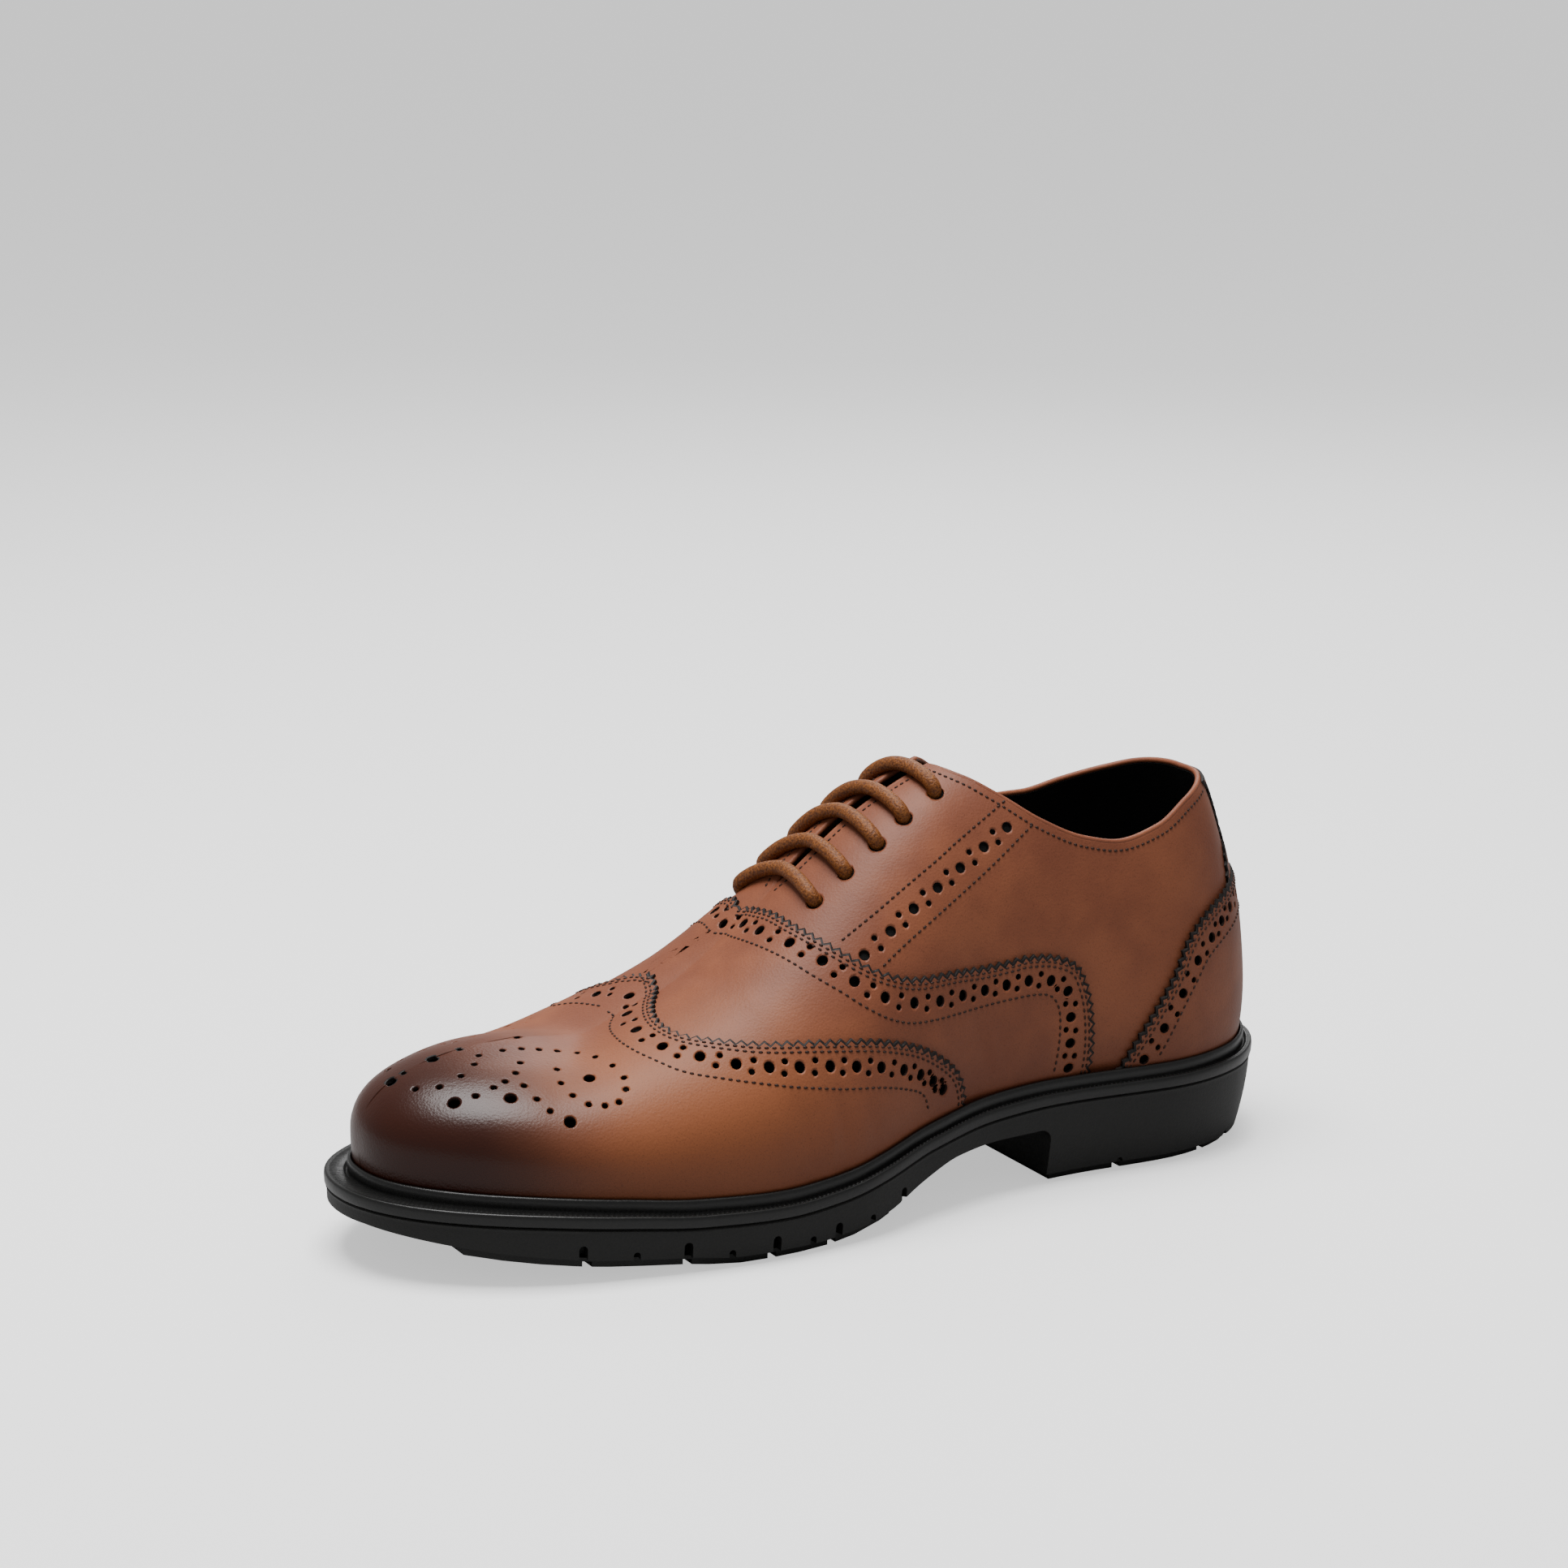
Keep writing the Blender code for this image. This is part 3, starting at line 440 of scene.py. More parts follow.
def measured(side):
    """One side of the last, column by column."""
    shares = np.linspace(0, 1, LEVELS)
    grid = np.zeros((COLUMNS, LEVELS, 3))
    for i, s in enumerate(np.linspace(0, 1, COLUMNS)):
        points, lengths = rib(round(float(s), 6), side)
        for k in range(3):
            grid[i, :, k] = np.interp(shares, lengths, points[:, k])
    return grid + SHIFT


PLACES = np.stack([measured(0), measured(1)])
PLACES[:, [0, -1]] = PLACES[:, [0, -1]].mean(0)


def outward(side):
    """Normals of one side's grid, from its neighbours on both sides of every line."""
    own, other = PLACES[side], PLACES[1 - side]
    along = np.concatenate([other[1:2], own, other[-2:-1]], 0)
    upward = np.concatenate([own[:, :1], own, other[:, -2:-1]], 1)
    normal = np.cross(along[2:] - along[:-2], upward[:, 2:] - upward[:, :-2])
    size = np.linalg.norm(normal, axis=-1, keepdims=True)
    normal = normal / np.maximum(size, 1e-15) * (-1 if side else 1)
    for i in (0, -1):
        normal[i, -1] = normal[i, -2]
    return normal


NORMALS = np.stack([outward(0), outward(1)])


def pick(grid, s, w):
    """Value of a grid between its points, for arrays of places."""
    s, w = np.broadcast_arrays(np.asarray(s, float), np.asarray(w, float))
    side = np.where(w > 1, 0, 1)
    h = np.clip(np.where(w > 1, 2 - w, w), 0, 1)
    side = np.where((s < 0) | (s > 1), 1 - side, side)
    t = np.clip(np.where(s < 0, -s, np.where(s > 1, 2 - s, s)), 0, 1)
    i, j = t * (COLUMNS - 1), h * (LEVELS - 1)
    i0 = np.minimum(i.astype(int), COLUMNS - 2)
    j0 = np.minimum(j.astype(int), LEVELS - 2)
    a, b = (i - i0)[..., None], (j - j0)[..., None]
    low = grid[side, i0, j0] * (1 - a) + grid[side, i0 + 1, j0] * a
    high = grid[side, i0, j0 + 1] * (1 - a) + grid[side, i0 + 1, j0 + 1] * a
    return low * (1 - b) + high * b


# %% [markdown]
# Worn calf is not smooth. Where the foot bends, the vamp folds into shallow creases, and the side
# wall ripples where it was pulled over the last. Each crease is given as a place, a direction and a
# size, and is added to the height of the leather over the last.

# %% Creases and the leather's surface
CREASES = (
    # s, w, half length, half width, turn in degrees, height; metres on the last
    (0.560, 0.150, 0.0120, 0.0022, 80, -0.00045),
    (0.575, 0.160, 0.0110, 0.0018, 84, 0.00035),
    (0.600, 0.190, 0.0130, 0.0024, 76, -0.00040),
    (0.625, 0.210, 0.0100, 0.0022, 82, 0.00030),
    (0.530, 0.120, 0.0080, 0.0020, 72, -0.00030),
    (0.660, 0.860, 0.0200, 0.0035, 62, -0.00030),
    (0.640, 0.700, 0.0180, 0.0035, 58, 0.00025),
    (0.395, 0.200, 0.0090, 0.0018, 64, -0.00030),
    (0.380, 0.190, 0.0080, 0.0020, 70, 0.00025),
    (0.575, 1.830, 0.0120, 0.0024, -80, -0.00040),
    (0.605, 1.800, 0.0120, 0.0026, -78, 0.00030),
    (0.640, 1.780, 0.0100, 0.0024, -84, -0.00030),
)
FLAT = (0.36, 0.11)       # metres of a flat pattern for one unit of s and of w


def relief(s, w):
    """Height of the creases and of a slow waviness at a place."""
    s, w = np.broadcast_arrays(np.asarray(s, float), np.asarray(w, float))
    total = 0.00012 * np.sin(31 * s + 9 * w) * np.sin(13 * w - 7 * s)
    for cs, cw, long, wide, turn, height in CREASES:
        x, y = (s - cs) * FLAT[0], (w - cw) * FLAT[1]
        a = math.radians(turn)
        u, v = x * math.cos(a) + y * math.sin(a), y * math.cos(a) - x * math.sin(a)
        v = v + 0.08 * u * u / long
        total = total + height * np.exp(-(u / long) ** 2 - (v / wide) ** 2)
    return total


def surface(s, w, lift=0.0):
    """Places on the leather, lift over the last."""
    rise = np.asarray(lift, float) + relief(s, w)
    return pick(PLACES, s, w) + pick(NORMALS, s, w) * rise[..., None]


def slopes(s, w):
    """How a place moves with s and with w, in metres a unit."""
    s, w = np.asarray(s, float), np.asarray(w, float)
    ds, low, high = 0.0015, np.maximum(w - 0.005, 0), np.minimum(w + 0.005, 2)
    along = (surface(s + ds, w) - surface(s - ds, w)) / (2 * ds)
    upward = (surface(s, high) - surface(s, low)) / (high - low)[..., None]
    return along, upward


def facing_out(s, w):
    """Unit normals of the creased leather."""
    along, upward = slopes(s, w)
    normal = -np.cross(along, upward)
    size = np.linalg.norm(normal, axis=-1, keepdims=True)
    return np.where(size > 1e-9, normal / np.maximum(size, 1e-12), pick(NORMALS, s, w))


print("ball girth of the grid", round(1000 * float(np.linalg.norm(
    np.diff(surface(0.65, np.linspace(0, 2, 200)), axis=0), axis=1).sum())), "mm over the top")

# %% [markdown]
# ## Lines on the leather
#
# Every seam, gimped edge and row of holes follows a line that the pattern cutter drew. A line is
# given by a few places read from the photograph. It is smoothed, and its length is measured
# on the last, so that teeth and stitches keep an even pitch however the leather curves.

# %% Drawing along lines
def trace(points):
    """A smooth line through places, with its length on the last at every point."""
    points = np.array(points, float)
    ends = np.concatenate([[2 * points[0] - points[1]], points, [2 * points[-1] - points[-2]]])
    t = np.linspace(0, 1, 13)[:-1, None]
    parts = []
    for a, b, c, d in zip(ends, ends[1:], ends[2:], ends[3:]):
        parts.append(0.5 * (2 * b + (c - a) * t + (2 * a - 5 * b + 4 * c - d) * t ** 2
                            + (3 * b - 3 * c + d - a) * t ** 3))
    line = np.concatenate([*parts, points[-1:]])
    at = surface(line[:, 0], line[:, 1])
    return line, np.concatenate([[0], np.cumsum(np.linalg.norm(np.diff(at, axis=0), axis=1))])


def place(line, distance):
    """Places along a line, and there the unit vectors along it and to its left."""
    points, lengths = line
    d = np.asarray(distance, float)
    spots = np.stack([np.interp(d, lengths, points[:, k]) for k in range(2)], -1)
    step = 0.0006
    ahead = np.stack([np.interp(d + step, lengths, points[:, k]) for k in range(2)], -1)
    behind = np.stack([np.interp(d - step, lengths, points[:, k]) for k in range(2)], -1)
    run = surface(*ahead.T) - surface(*behind.T)
    run = run / np.maximum(np.linalg.norm(run, axis=-1, keepdims=True), 1e-12)
    left = np.cross(facing_out(*spots.T), run)
    return spots, run, left


def moved(spots, vectors):
    """Places moved by vectors given in metres."""
    along, upward = slopes(*spots.T)
    a, b, c = (along * along).sum(-1), (along * upward).sum(-1), (upward * upward).sum(-1)
    u, v = (along * vectors).sum(-1), (upward * vectors).sum(-1)
    det = np.maximum(a * c - b * b, 1e-12)
    return spots + np.stack([(c * u - b * v) / det, (a * v - b * u) / det], -1)


def aside(line, left, step=0.0015):
    """A line beside another one, left metres to its left."""
    count = max(int(line[1][-1] / step), 2)
    spots, _, to_left = place(line, np.linspace(0, line[1][-1], count + 1))
    return moved(spots, left * to_left)


def gimped(line, inward, pitch=0.0030, depth=0.0014):
    """The line with small teeth; inward is 1 where the panel lies to its left, otherwise -1."""
    half = 0.5 * pitch
    count = 2 * int(line[1][-1] / pitch)
    spots, _, to_left = place(line, np.linspace(0, line[1][-1], count + 1))
    bite = np.where(np.arange(count + 1) % 2, depth, 0.0)
    print("  teeth", count // 2, "pitch", round(1000 * half * 2, 1), "mm")
    return moved(spots, (inward * bite)[:, None] * to_left)


BIG = (0.0015, 0.0017)    # half sizes of a big hole, along its row and across
SMALL = (0.00092, 0.00092)
EYELET = (0.0025, 0.0025)


def hole(spot, run, left, size, corners):
    """Outline of one punched hole."""
    turn = np.linspace(0, 2 * math.pi, corners, endpoint=False)[:, None]
    vectors = size[0] * np.cos(turn) * run + size[1] * np.sin(turn) * left
    return moved(np.repeat(np.array([spot]), corners, 0), vectors)


def punched(points, size=BIG, pair=0.0017, skew=0.0003):
    """Big holes at the given places and a pair of small ones between each two."""
    line = trace(points)
    big = line[1][::12]
    spots, run, left = place(line, big)
    cut = [hole(s, r, l, size, 14) for s, r, l in zip(spots, run, left)]
    between = 0.5 * (big[1:] + big[:-1])
    spots, run, left = place(line, between)
    for s, r, l in zip(spots, run, left):
        for way in (-1, 1):
            at = moved(np.array([s]), np.array([way * (pair * l + skew * r)]))[0]
            cut.append(hole(at, r, l, SMALL, 9))
    return cut


# %% [markdown]
# ## The lines of the pattern
#
# Read from the photograph for the outer side: the edge of the wing cap, the edge of the vamp, the
# heel counter and the back strap, the rows of big holes, the inner rows of stitches and the band of
# holes along the facing. The inner side is taken as the same pattern turned over.

# %% Places of edges, holes and seams
WING_EDGE = [(0.689, 1.094), (0.706, 1.012), (0.717, 0.910), (0.7195, 0.820), (0.715, 0.735),
             (0.701, 0.648), (0.678, 0.579), (0.638, 0.502), (0.591, 0.438), (0.541, 0.373),
             (0.499, 0.311), (0.464, 0.250), (0.436, 0.185), (0.420, 0.134), (0.411, 0.070),
             (0.409, 0.008)]
WING_HOLES = [(0.729, 1.073), (0.751, 0.946), (0.744, 0.767), (0.721, 0.611), (0.688, 0.512),
              (0.657, 0.447), (0.628, 0.404), (0.600, 0.371), (0.571, 0.338), (0.545, 0.304),
              (0.519, 0.267), (0.492, 0.225), (0.471, 0.185), (0.455, 0.149), (0.442, 0.113)]
WING_SEAM = [(0.760, 1.068), (0.773, 0.916), (0.765, 0.762), (0.749, 0.640), (0.728, 0.544),
             (0.704, 0.469), (0.668, 0.408), (0.623, 0.345), (0.574, 0.282), (0.521, 0.218),
             (0.488, 0.169), (0.468, 0.129), (0.460, 0.080)]
VAMP_LINE = [(0.595, 1.053), (0.5935, 1.005), (0.589, 0.948), (0.583, 0.895), (0.571, 0.787),
             (0.556, 0.696), (0.539, 0.618), (0.515, 0.529), (0.489, 0.466), (0.460, 0.423),
             (0.415, 0.394), (0.392, 0.381), (0.357, 0.372), (0.341, 0.370), (0.311, 0.352),
             (0.286, 0.316), (0.275, 0.258), (0.270, 0.193), (0.268, 0.100), (0.268, 0.008)]
VAMP_HOLES = [(0.615, 1.053), (0.608, 0.957), (0.600, 0.861), (0.581, 0.733), (0.558, 0.617),
              (0.533, 0.512), (0.504, 0.426), (0.471, 0.368), (0.441, 0.338), (0.414, 0.325),
              (0.388, 0.316), (0.364, 0.311), (0.340, 0.304), (0.316, 0.289), (0.298, 0.253),
              (0.295, 0.186), (0.295, 0.120), (0.294, 0.054)]
VAMP_SEAM = [(0.6265, 1.058), (0.6215, 0.940), (0.605, 0.795), (0.576, 0.622), (0.546, 0.501),
             (0.524, 0.425), (0.497, 0.358), (0.466, 0.312), (0.420, 0.285), (0.360, 0.272),
             (0.332, 0.264), (0.316, 0.249), (0.308, 0.212), (0.307, 0.153), (0.310, 0.050)]
COUNTER_LINE = [(0.0, 0.440), (0.045, 0.435), (0.087, 0.419), (0.139, 0.376), (0.169, 0.320),
                (0.186, 0.248), (0.204, 0.183), (0.225, 0.106), (0.238, 0.046), (0.246, 0.008)]
COUNTER_HOLES = [(0.0, 0.385), (0.034, 0.384), (0.067, 0.376), (0.099, 0.360), (0.118, 0.338),
                 (0.136, 0.308), (0.157, 0.264), (0.176, 0.194), (0.196, 0.118), (0.214, 0.046)]
COUNTER_SEAM = [(0.0, 0.345), (0.045, 0.340), (0.084, 0.326), (0.137, 0.274), (0.160, 0.214),
                (0.179, 0.144), (0.199, 0.049)]
STRAP_LINE = [(0.089, 0.405), (0.075, 0.483), (0.052, 0.515), (0.053, 0.560), (0.061, 0.620),
              (0.072, 0.680), (0.084, 0.735)]
FACING_SEAM = [(0.337, 0.759), (0.399, 0.702), (0.428, 0.677), (0.483, 0.647), (0.537, 0.637)]
FACING_HOLES = [(0.343, 0.692), (0.371, 0.665), (0.400, 0.636), (0.428, 0.613), (0.457, 0.593),
                (0.485, 0.573), (0.517, 0.560)]
FACING_TAIL = [(0.315, 0.679), (0.381, 0.596), (0.438, 0.543), (0.501, 0.501)]
EYELETS = [(0.548, 0.801), (0.513, 0.804), (0.476, 0.810), (0.443, 0.831), (0.404, 0.852)]
MEDALLION_BIG = [(0.918, 0.405), (0.868, 0.455), (0.796, 0.557), (0.811, 0.340)]
MEDALLION_SMALL = [
    (0.965, 0.431), (0.944, 0.470), (0.934, 0.554), (0.937, 0.650), (0.952, 0.725),
    (0.902, 0.453), (0.889, 0.508), (0.881, 0.550), (0.875, 0.612), (0.878, 0.696),
    (0.860, 0.530), (0.844, 0.453), (0.830, 0.391), (0.928, 0.798), (0.897, 0.829),
    (0.866, 0.828), (0.841, 0.813), (0.815, 0.777), (0.791, 0.695), (0.772, 0.597),
    (0.761, 0.510), (0.760, 0.453), (0.767, 0.403), (0.780, 0.397), (0.795, 0.412),
    (0.811, 0.467), (0.825, 0.549), (0.833, 0.645)]
MIDDLE_BIG = [0.421, 0.609]           # rib shares of the holes on the toe's middle line
MIDDLE_SMALL = [0.480, 0.730]
print("read 5 edges and", len(MEDALLION_SMALL), "small holes on each side of the medallion")

# %% [markdown]
# The inner side is out of sight in the photograph, but a brogue is cut alike on both sides. Its
# pattern is turned over about the middle line of the toe and throat, which leans a little toward
# the inner side, as the last does. Low on the walls, where that mirror would slip, the same height
# on the other side is taken instead.

# %% The pattern turned over
MIRROR_FROM, MIRROR_BLEND = 0.52, 0.36     # w where the mirror sets in, and over how much
LONGEST_STEP = 0.006                       # of each correction, in s and w
MIDDLE = np.array([surface(1.0, 0.20), surface(0.689, 1.094), surface(0.595, 1.053),
                   surface(0.40, 1.02)])[::-1, :2]
FAR_S, FAR_W = np.meshgrid(np.linspace(0.40, 1.0, 241), np.linspace(0.86, 1.80, 189), indexing="ij")
FAR_XY = surface(FAR_S, FAR_W)[..., :2].reshape(-1, 2)
far_tree = KDTree(len(FAR_XY))
for number, (x, y) in enumerate(FAR_XY):
    far_tree.insert((x, y, 0), number)
far_tree.balance()


def across(points):
    """Places on the inner side that mirror places on the outer side."""
    near = np.array(points, float)
    at = surface(*near.T)
    target = np.stack([at[:, 0], 2 * np.interp(at[:, 0], *MIDDLE.T) - at[:, 1]], -1)
    first = [far_tree.find((x, y, 0))[1] for x, y in target]
    found = np.stack([FAR_S.ravel()[first], FAR_W.ravel()[first]], -1)
    for _ in range(2):          # the nearest place of the grid is brought closer twice
        along, upward = slopes(*found.T)
        miss = target - surface(*found.T)[:, :2]
        det = along[:, 0] * upward[:, 1] - along[:, 1] * upward[:, 0]
        det = np.where(np.abs(det) < 1e-7, 1e9, det)
        step = np.stack([(miss[:, 0] * upward[:, 1] - miss[:, 1] * upward[:, 0]) / det,
                         (along[:, 0] * miss[:, 1] - along[:, 1] * miss[:, 0]) / det], -1)
        found = found + np.clip(step, -LONGEST_STEP, LONGEST_STEP)
    low = np.stack([near[:, 0], 2 - near[:, 1]], -1)
    share = np.clip((near[:, 1] - MIRROR_FROM) / MIRROR_BLEND, 0, 1)[:, None]
    share = share * share * (3 - 2 * share)
    return found * share + low * (1 - share)


print("turned over, the wing's edge starts at", np.round(across(WING_EDGE[:1])[0], 3))

# %% [markdown]
# ## Cutting a panel
#
# A clicking knife cuts a panel from flat leather and a punch goes through it. The same is done here:
# outline and holes are filled as one flat sheet, the sheet is cut into cells so that it can bend,
# its rims get a narrow bevel, and it is extruded to the leather's thickness. Then every corner is
# laid on the last. The sheet remembers how near each corner is to its cut edge, because dye and wax
# gather there.

# %% From a flat pattern to a leather panel
TOP, UNDER, WALL_KIND = 0, 1, 2
BEVEL = 0.00072
RIM_SHARE = 0.80          # of the thickness, where the bevel starts at the cut edge


def flat_sheet(outline, holes, cell):
    """Outline and holes filled, cut into cells and bevelled round every rim."""
    bm = bmesh.new()
    edges = []
    for loop in [outline, *holes]:
        verts = [bm.verts.new((s * FLAT[0], w * FLAT[1], 0)) for s, w in loop]
        edges += [bm.edges.new((verts[k - 1], verts[k])) for k in range(len(verts))]
    bmesh.ops.triangle_fill(bm, use_beauty=True, edges=edges, normal=(0, 0, 1))
    ring = bm.faces.layers.int.new("ring")
    for face in bmesh.ops.inset_region(bm, faces=bm.faces[:], thickness=BEVEL, use_boundary=True,
                                       use_even_offset=True)["faces"]:
        face[ring] = 1
    corners = np.array([v.co for v in bm.verts])
    for axis in (0, 1):
        low, high = corners[:, axis].min(), corners[:, axis].max()
        steps = np.arange(0.5 * cell, 0.5 * (high - low) - 0.3 * cell, cell)
        for at in (*(0.5 * (low + high) - steps), *(0.5 * (low + high) + steps)):
            centre, normal = [0, 0, 0], [0, 0, 0]
            centre[axis], normal[axis] = float(at), 1
            bmesh.ops.bisect_plane(bm, geom=bm.verts[:] + bm.edges[:] + bm.faces[:], dist=1e-6,
                                   plane_co=centre, plane_no=normal)
    return bm


def lay(name, outline, holes, lifts, materials, cell=0.003, seam=None, burn=None, dyed_and_shaded_rim=True):
    """A panel of leather on the last. Seam names the rims that meet and are joined."""
    bm = flat_sheet(outline, holes, cell)
    ring = bm.faces.layers.int["ring"]
    rim = bm.verts.layers.int.new("rim")
    kind = bm.faces.layers.int.new("kind")
    uv = bm.loops.layers.uv.new("pattern")
    for v in bm.verts:
        v[rim] = int(v.is_boundary)
    sheet = bm.faces[:]
    grown = bmesh.ops.extrude_face_region(bm, geom=sheet)["geom"]
    for item in grown:
        if isinstance(item, bmesh.types.BMVert):
            item.co.z = 1.0
    centres = [(np.array(h).mean(0) * FLAT, np.abs((np.array(h) - np.array(h).mean(0)) * FLAT).max())
               for h in holes]
    middles = np.array([c for c, _ in centres]) if centres else np.zeros((0, 2))
    reach = np.array([r for _, r in centres])
    dropped = []
    for face in bm.faces:
        heights = [v.co.z for v in face.verts]
        middle = np.array(face.calc_center_median())[:2]
        gap = np.linalg.norm(middles - middle, axis=1) - reach if len(middles) else np.ones(1)
        if min(heights) > 0.5:
            face[kind] = TOP
            joined = seam and seam(*(middle / FLAT), 1.1 * BEVEL / FLAT[0])
            at_edge = face[ring] and gap.min() > 1.3 * BEVEL and not joined
            # A top face in the bevel at a cut edge gets the black edge finish: dye, and a painted
            # shadow of the raised edge.
            face.material_index = int(dyed_and_shaded_rim and at_edge)
        elif max(heights) < 0.5:
            face[kind] = UNDER
        else:
            face[kind] = WALL_KIND
            if seam and seam(*(middle / FLAT)):
                dropped.append(face)
            else:
                face.material_index = 2 if gap.min() < 0.25 * BEVEL else 1
        for loop in face.loops:
            loop[uv].uv = loop.vert.co.xy
    bmesh.ops.delete(bm, geom=dropped, context="FACES_ONLY")
    flat = np.array([v.co for v in bm.verts])
    rims = np.array([v[rim] for v in bm.verts])
    s, w = flat[:, 0] / FLAT[0], flat[:, 1] / FLAT[1]
    share = np.where(rims & (flat[:, 2] > 0.5), RIM_SHARE, flat[:, 2])
    if seam:
        share = np.where(seam(s, w) & (flat[:, 2] > 0.5), 1.0, share)
    lift = lifts[0] + (lifts[1] - lifts[0]) * share
    for v, at in zip(bm.verts, surface(s, w, lift)):
        v.co = at
    if seam:
        bmesh.ops.remove_doubles(bm, verts=bm.verts[:], dist=2e-5)
    bmesh.ops.recalc_face_normals(bm, faces=bm.faces[:])
    tops = [f for f in bm.faces if f[kind] == TOP][::50]
    spots = np.array([f.loops[0][uv].uv for f in tops]) / FLAT
    out = facing_out(*spots.T)
    if sum(f.normal @ Vector(n) for f, n in zip(tops, out)) < 0:
        bmesh.ops.reverse_faces(bm, faces=bm.faces[:])
    mesh = bpy.data.meshes.new(name)
    bm.to_mesh(mesh)
    bm.free()
    for material in materials:
        mesh.materials.append(material)
    shade(mesh)
    burnt(mesh, burn if burn is not None else [outline])
    obj = bpy.data.objects.new(name, mesh)
    bpy.context.scene.collection.objects.link(obj)
    print(f"  {name}: {len(holes)} holes, {len(mesh.polygons)} faces")
    return obj


def corner_table(mesh):
    """Vertex, face kind and pattern place of every face corner."""
    count = len(mesh.loops)
    vertex = np.zeros(count, int)
    mesh.loops.foreach_get("vertex_index", vertex)
    place_uv = np.zeros(2 * count)
    mesh.uv_layers["pattern"].uv.foreach_get("vector", place_uv)
    kinds = np.zeros(len(mesh.polygons), int)
    mesh.attributes["kind"].data.foreach_get("value", kinds)
    totals = np.zeros(len(mesh.polygons), int)
    mesh.polygons.foreach_get("loop_total", totals)
    return vertex, np.repeat(kinds, totals), place_uv.reshape(-1, 2), totals


def shade(mesh):
    """Corner normals from the last itself, rolled over at the rims."""
    mesh.shade_smooth()
    vertex, kinds, spots, totals = corner_table(mesh)
    s, w = spots[:, 0] / FLAT[0], spots[:, 1] / FLAT[1]
    normal = facing_out(s, w)
    normal[kinds == UNDER] *= -1
    own = np.zeros(3 * len(mesh.polygons))
    mesh.polygons.foreach_get("normal", own)
    own = np.repeat(own.reshape(-1, 3), totals, 0)
    walls = kinds == WALL_KIND
    turned = np.zeros((len(mesh.vertices), 3))
    np.add.at(turned, vertex[walls], own[walls])
    turned /= np.maximum(np.linalg.norm(turned, axis=1, keepdims=True), 1e-9)
    rims = np.zeros(len(mesh.vertices), int)
    mesh.attributes["rim"].data.foreach_get("value", rims)
    at_rim = (rims[vertex] == 1) & (np.linalg.norm(turned[vertex], axis=1) > 0.5) & (kinds != UNDER)
    rolled = 0.8 * facing_out(s, w) + turned[vertex]
    upper = at_rim & ((kinds == TOP) | walls)
    result = np.where(walls[:, None], own, normal)
    result[upper & ~walls] = rolled[upper & ~walls]
    result /= np.maximum(np.linalg.norm(result, axis=1, keepdims=True), 1e-9)
    mesh.normals_split_custom_set(result.tolist())


def burnt(mesh, loops):
    """How near every corner lies to the panel's cut edges, 1 on the edge and 0 far from it."""
    vertex, _, spots, _ = corner_table(mesh)
    edge = np.concatenate([surface(*np.array(loop).T) for loop in loops])
    at = surface(spots[:, 0] / FLAT[0], spots[:, 1] / FLAT[1])
    near = np.full(len(at), 1.0)
    for k in range(0, len(at), 4000):
        gap = np.linalg.norm(at[k:k + 4000, None] - edge[None], axis=-1)
        near[k:k + 4000] = gap.min(1)
    values = np.zeros(len(mesh.vertices))
    values[vertex] = np.exp(-near / 0.006)
    layer = mesh.attributes.new("edge_near", "FLOAT", "POINT")
    layer.data.foreach_set("value", values)


# %% [markdown]
# ## Swept and stitched things
#
# Rims, cords and the welt are made by carrying a section along a path. A grid of the right count is
# made first and its corners are then moved to the sections, so that the faces stay in neat rows.
# A stitch is a small bead of waxed thread that lies along its seam; one round bead is repeated and
# turned at an even pitch.

# %% Sweeps, cords and stitches
def swept(name, rows, material, closed=(True, True), caps=False):
    """A skin over rows of points. Closed joins the last row, or the last column, to the first."""
    rows = np.asarray(rows, float)
    if closed[0]:
        rows = np.concatenate([rows, rows[:1]])
    if closed[1]:
        rows = np.concatenate([rows, rows[:, :1]], 1)
    m, n = rows.shape[:2]
    bm = bmesh.new()
    bmesh.ops.create_grid(bm, x_segments=m - 1, y_segments=n - 1, size=0.5)
    for v in bm.verts:
        i, j = round((v.co.x + 0.5) * (m - 1)), round((v.co.y + 0.5) * (n - 1))
        v.co = rows[i, j]
    bmesh.ops.remove_doubles(bm, verts=bm.verts[:], dist=1e-6)
    if caps:
        open_edges = [e for e in bm.edges if e.is_boundary]
        bmesh.ops.holes_fill(bm, edges=open_edges, sides=0)
    bmesh.ops.recalc_face_normals(bm, faces=bm.faces[:])
    mesh = bpy.data.meshes.new(name)
    bm.to_mesh(mesh)
    bm.free()
    mesh.shade_smooth()
    mesh.materials.append(material)
    obj = bpy.data.objects.new(name, mesh)
    bpy.context.scene.collection.objects.link(obj)
    return obj


def tube_rows(points, radius, corners=12, flat=1.0, guide=None):
    """Sections of a cord round a path, turned as little as possible."""
    points = np.asarray(points, float)
    run = np.gradient(points, axis=0)
    run /= np.linalg.norm(run, axis=1, keepdims=True)
    up = np.array([0, 0, 1.0]) if guide is None else np.asarray(guide[0], float)
    rows = []
    radius = np.broadcast_to(np.asarray(radius, float), (len(points),))
    turn = np.linspace(0, 2 * math.pi, corners, endpoint=False)[:, None]
    for k, (at, forward) in enumerate(zip(points, run)):
        up = np.asarray(guide[k], float) if guide is not None else up
        up = up - forward * (up @ forward)
        up /= np.linalg.norm(up)
        across = np.cross(forward, up)
        rows.append(at + radius[k] * (np.cos(turn) * across + flat * np.sin(turn) * up))
    return np.array(rows)


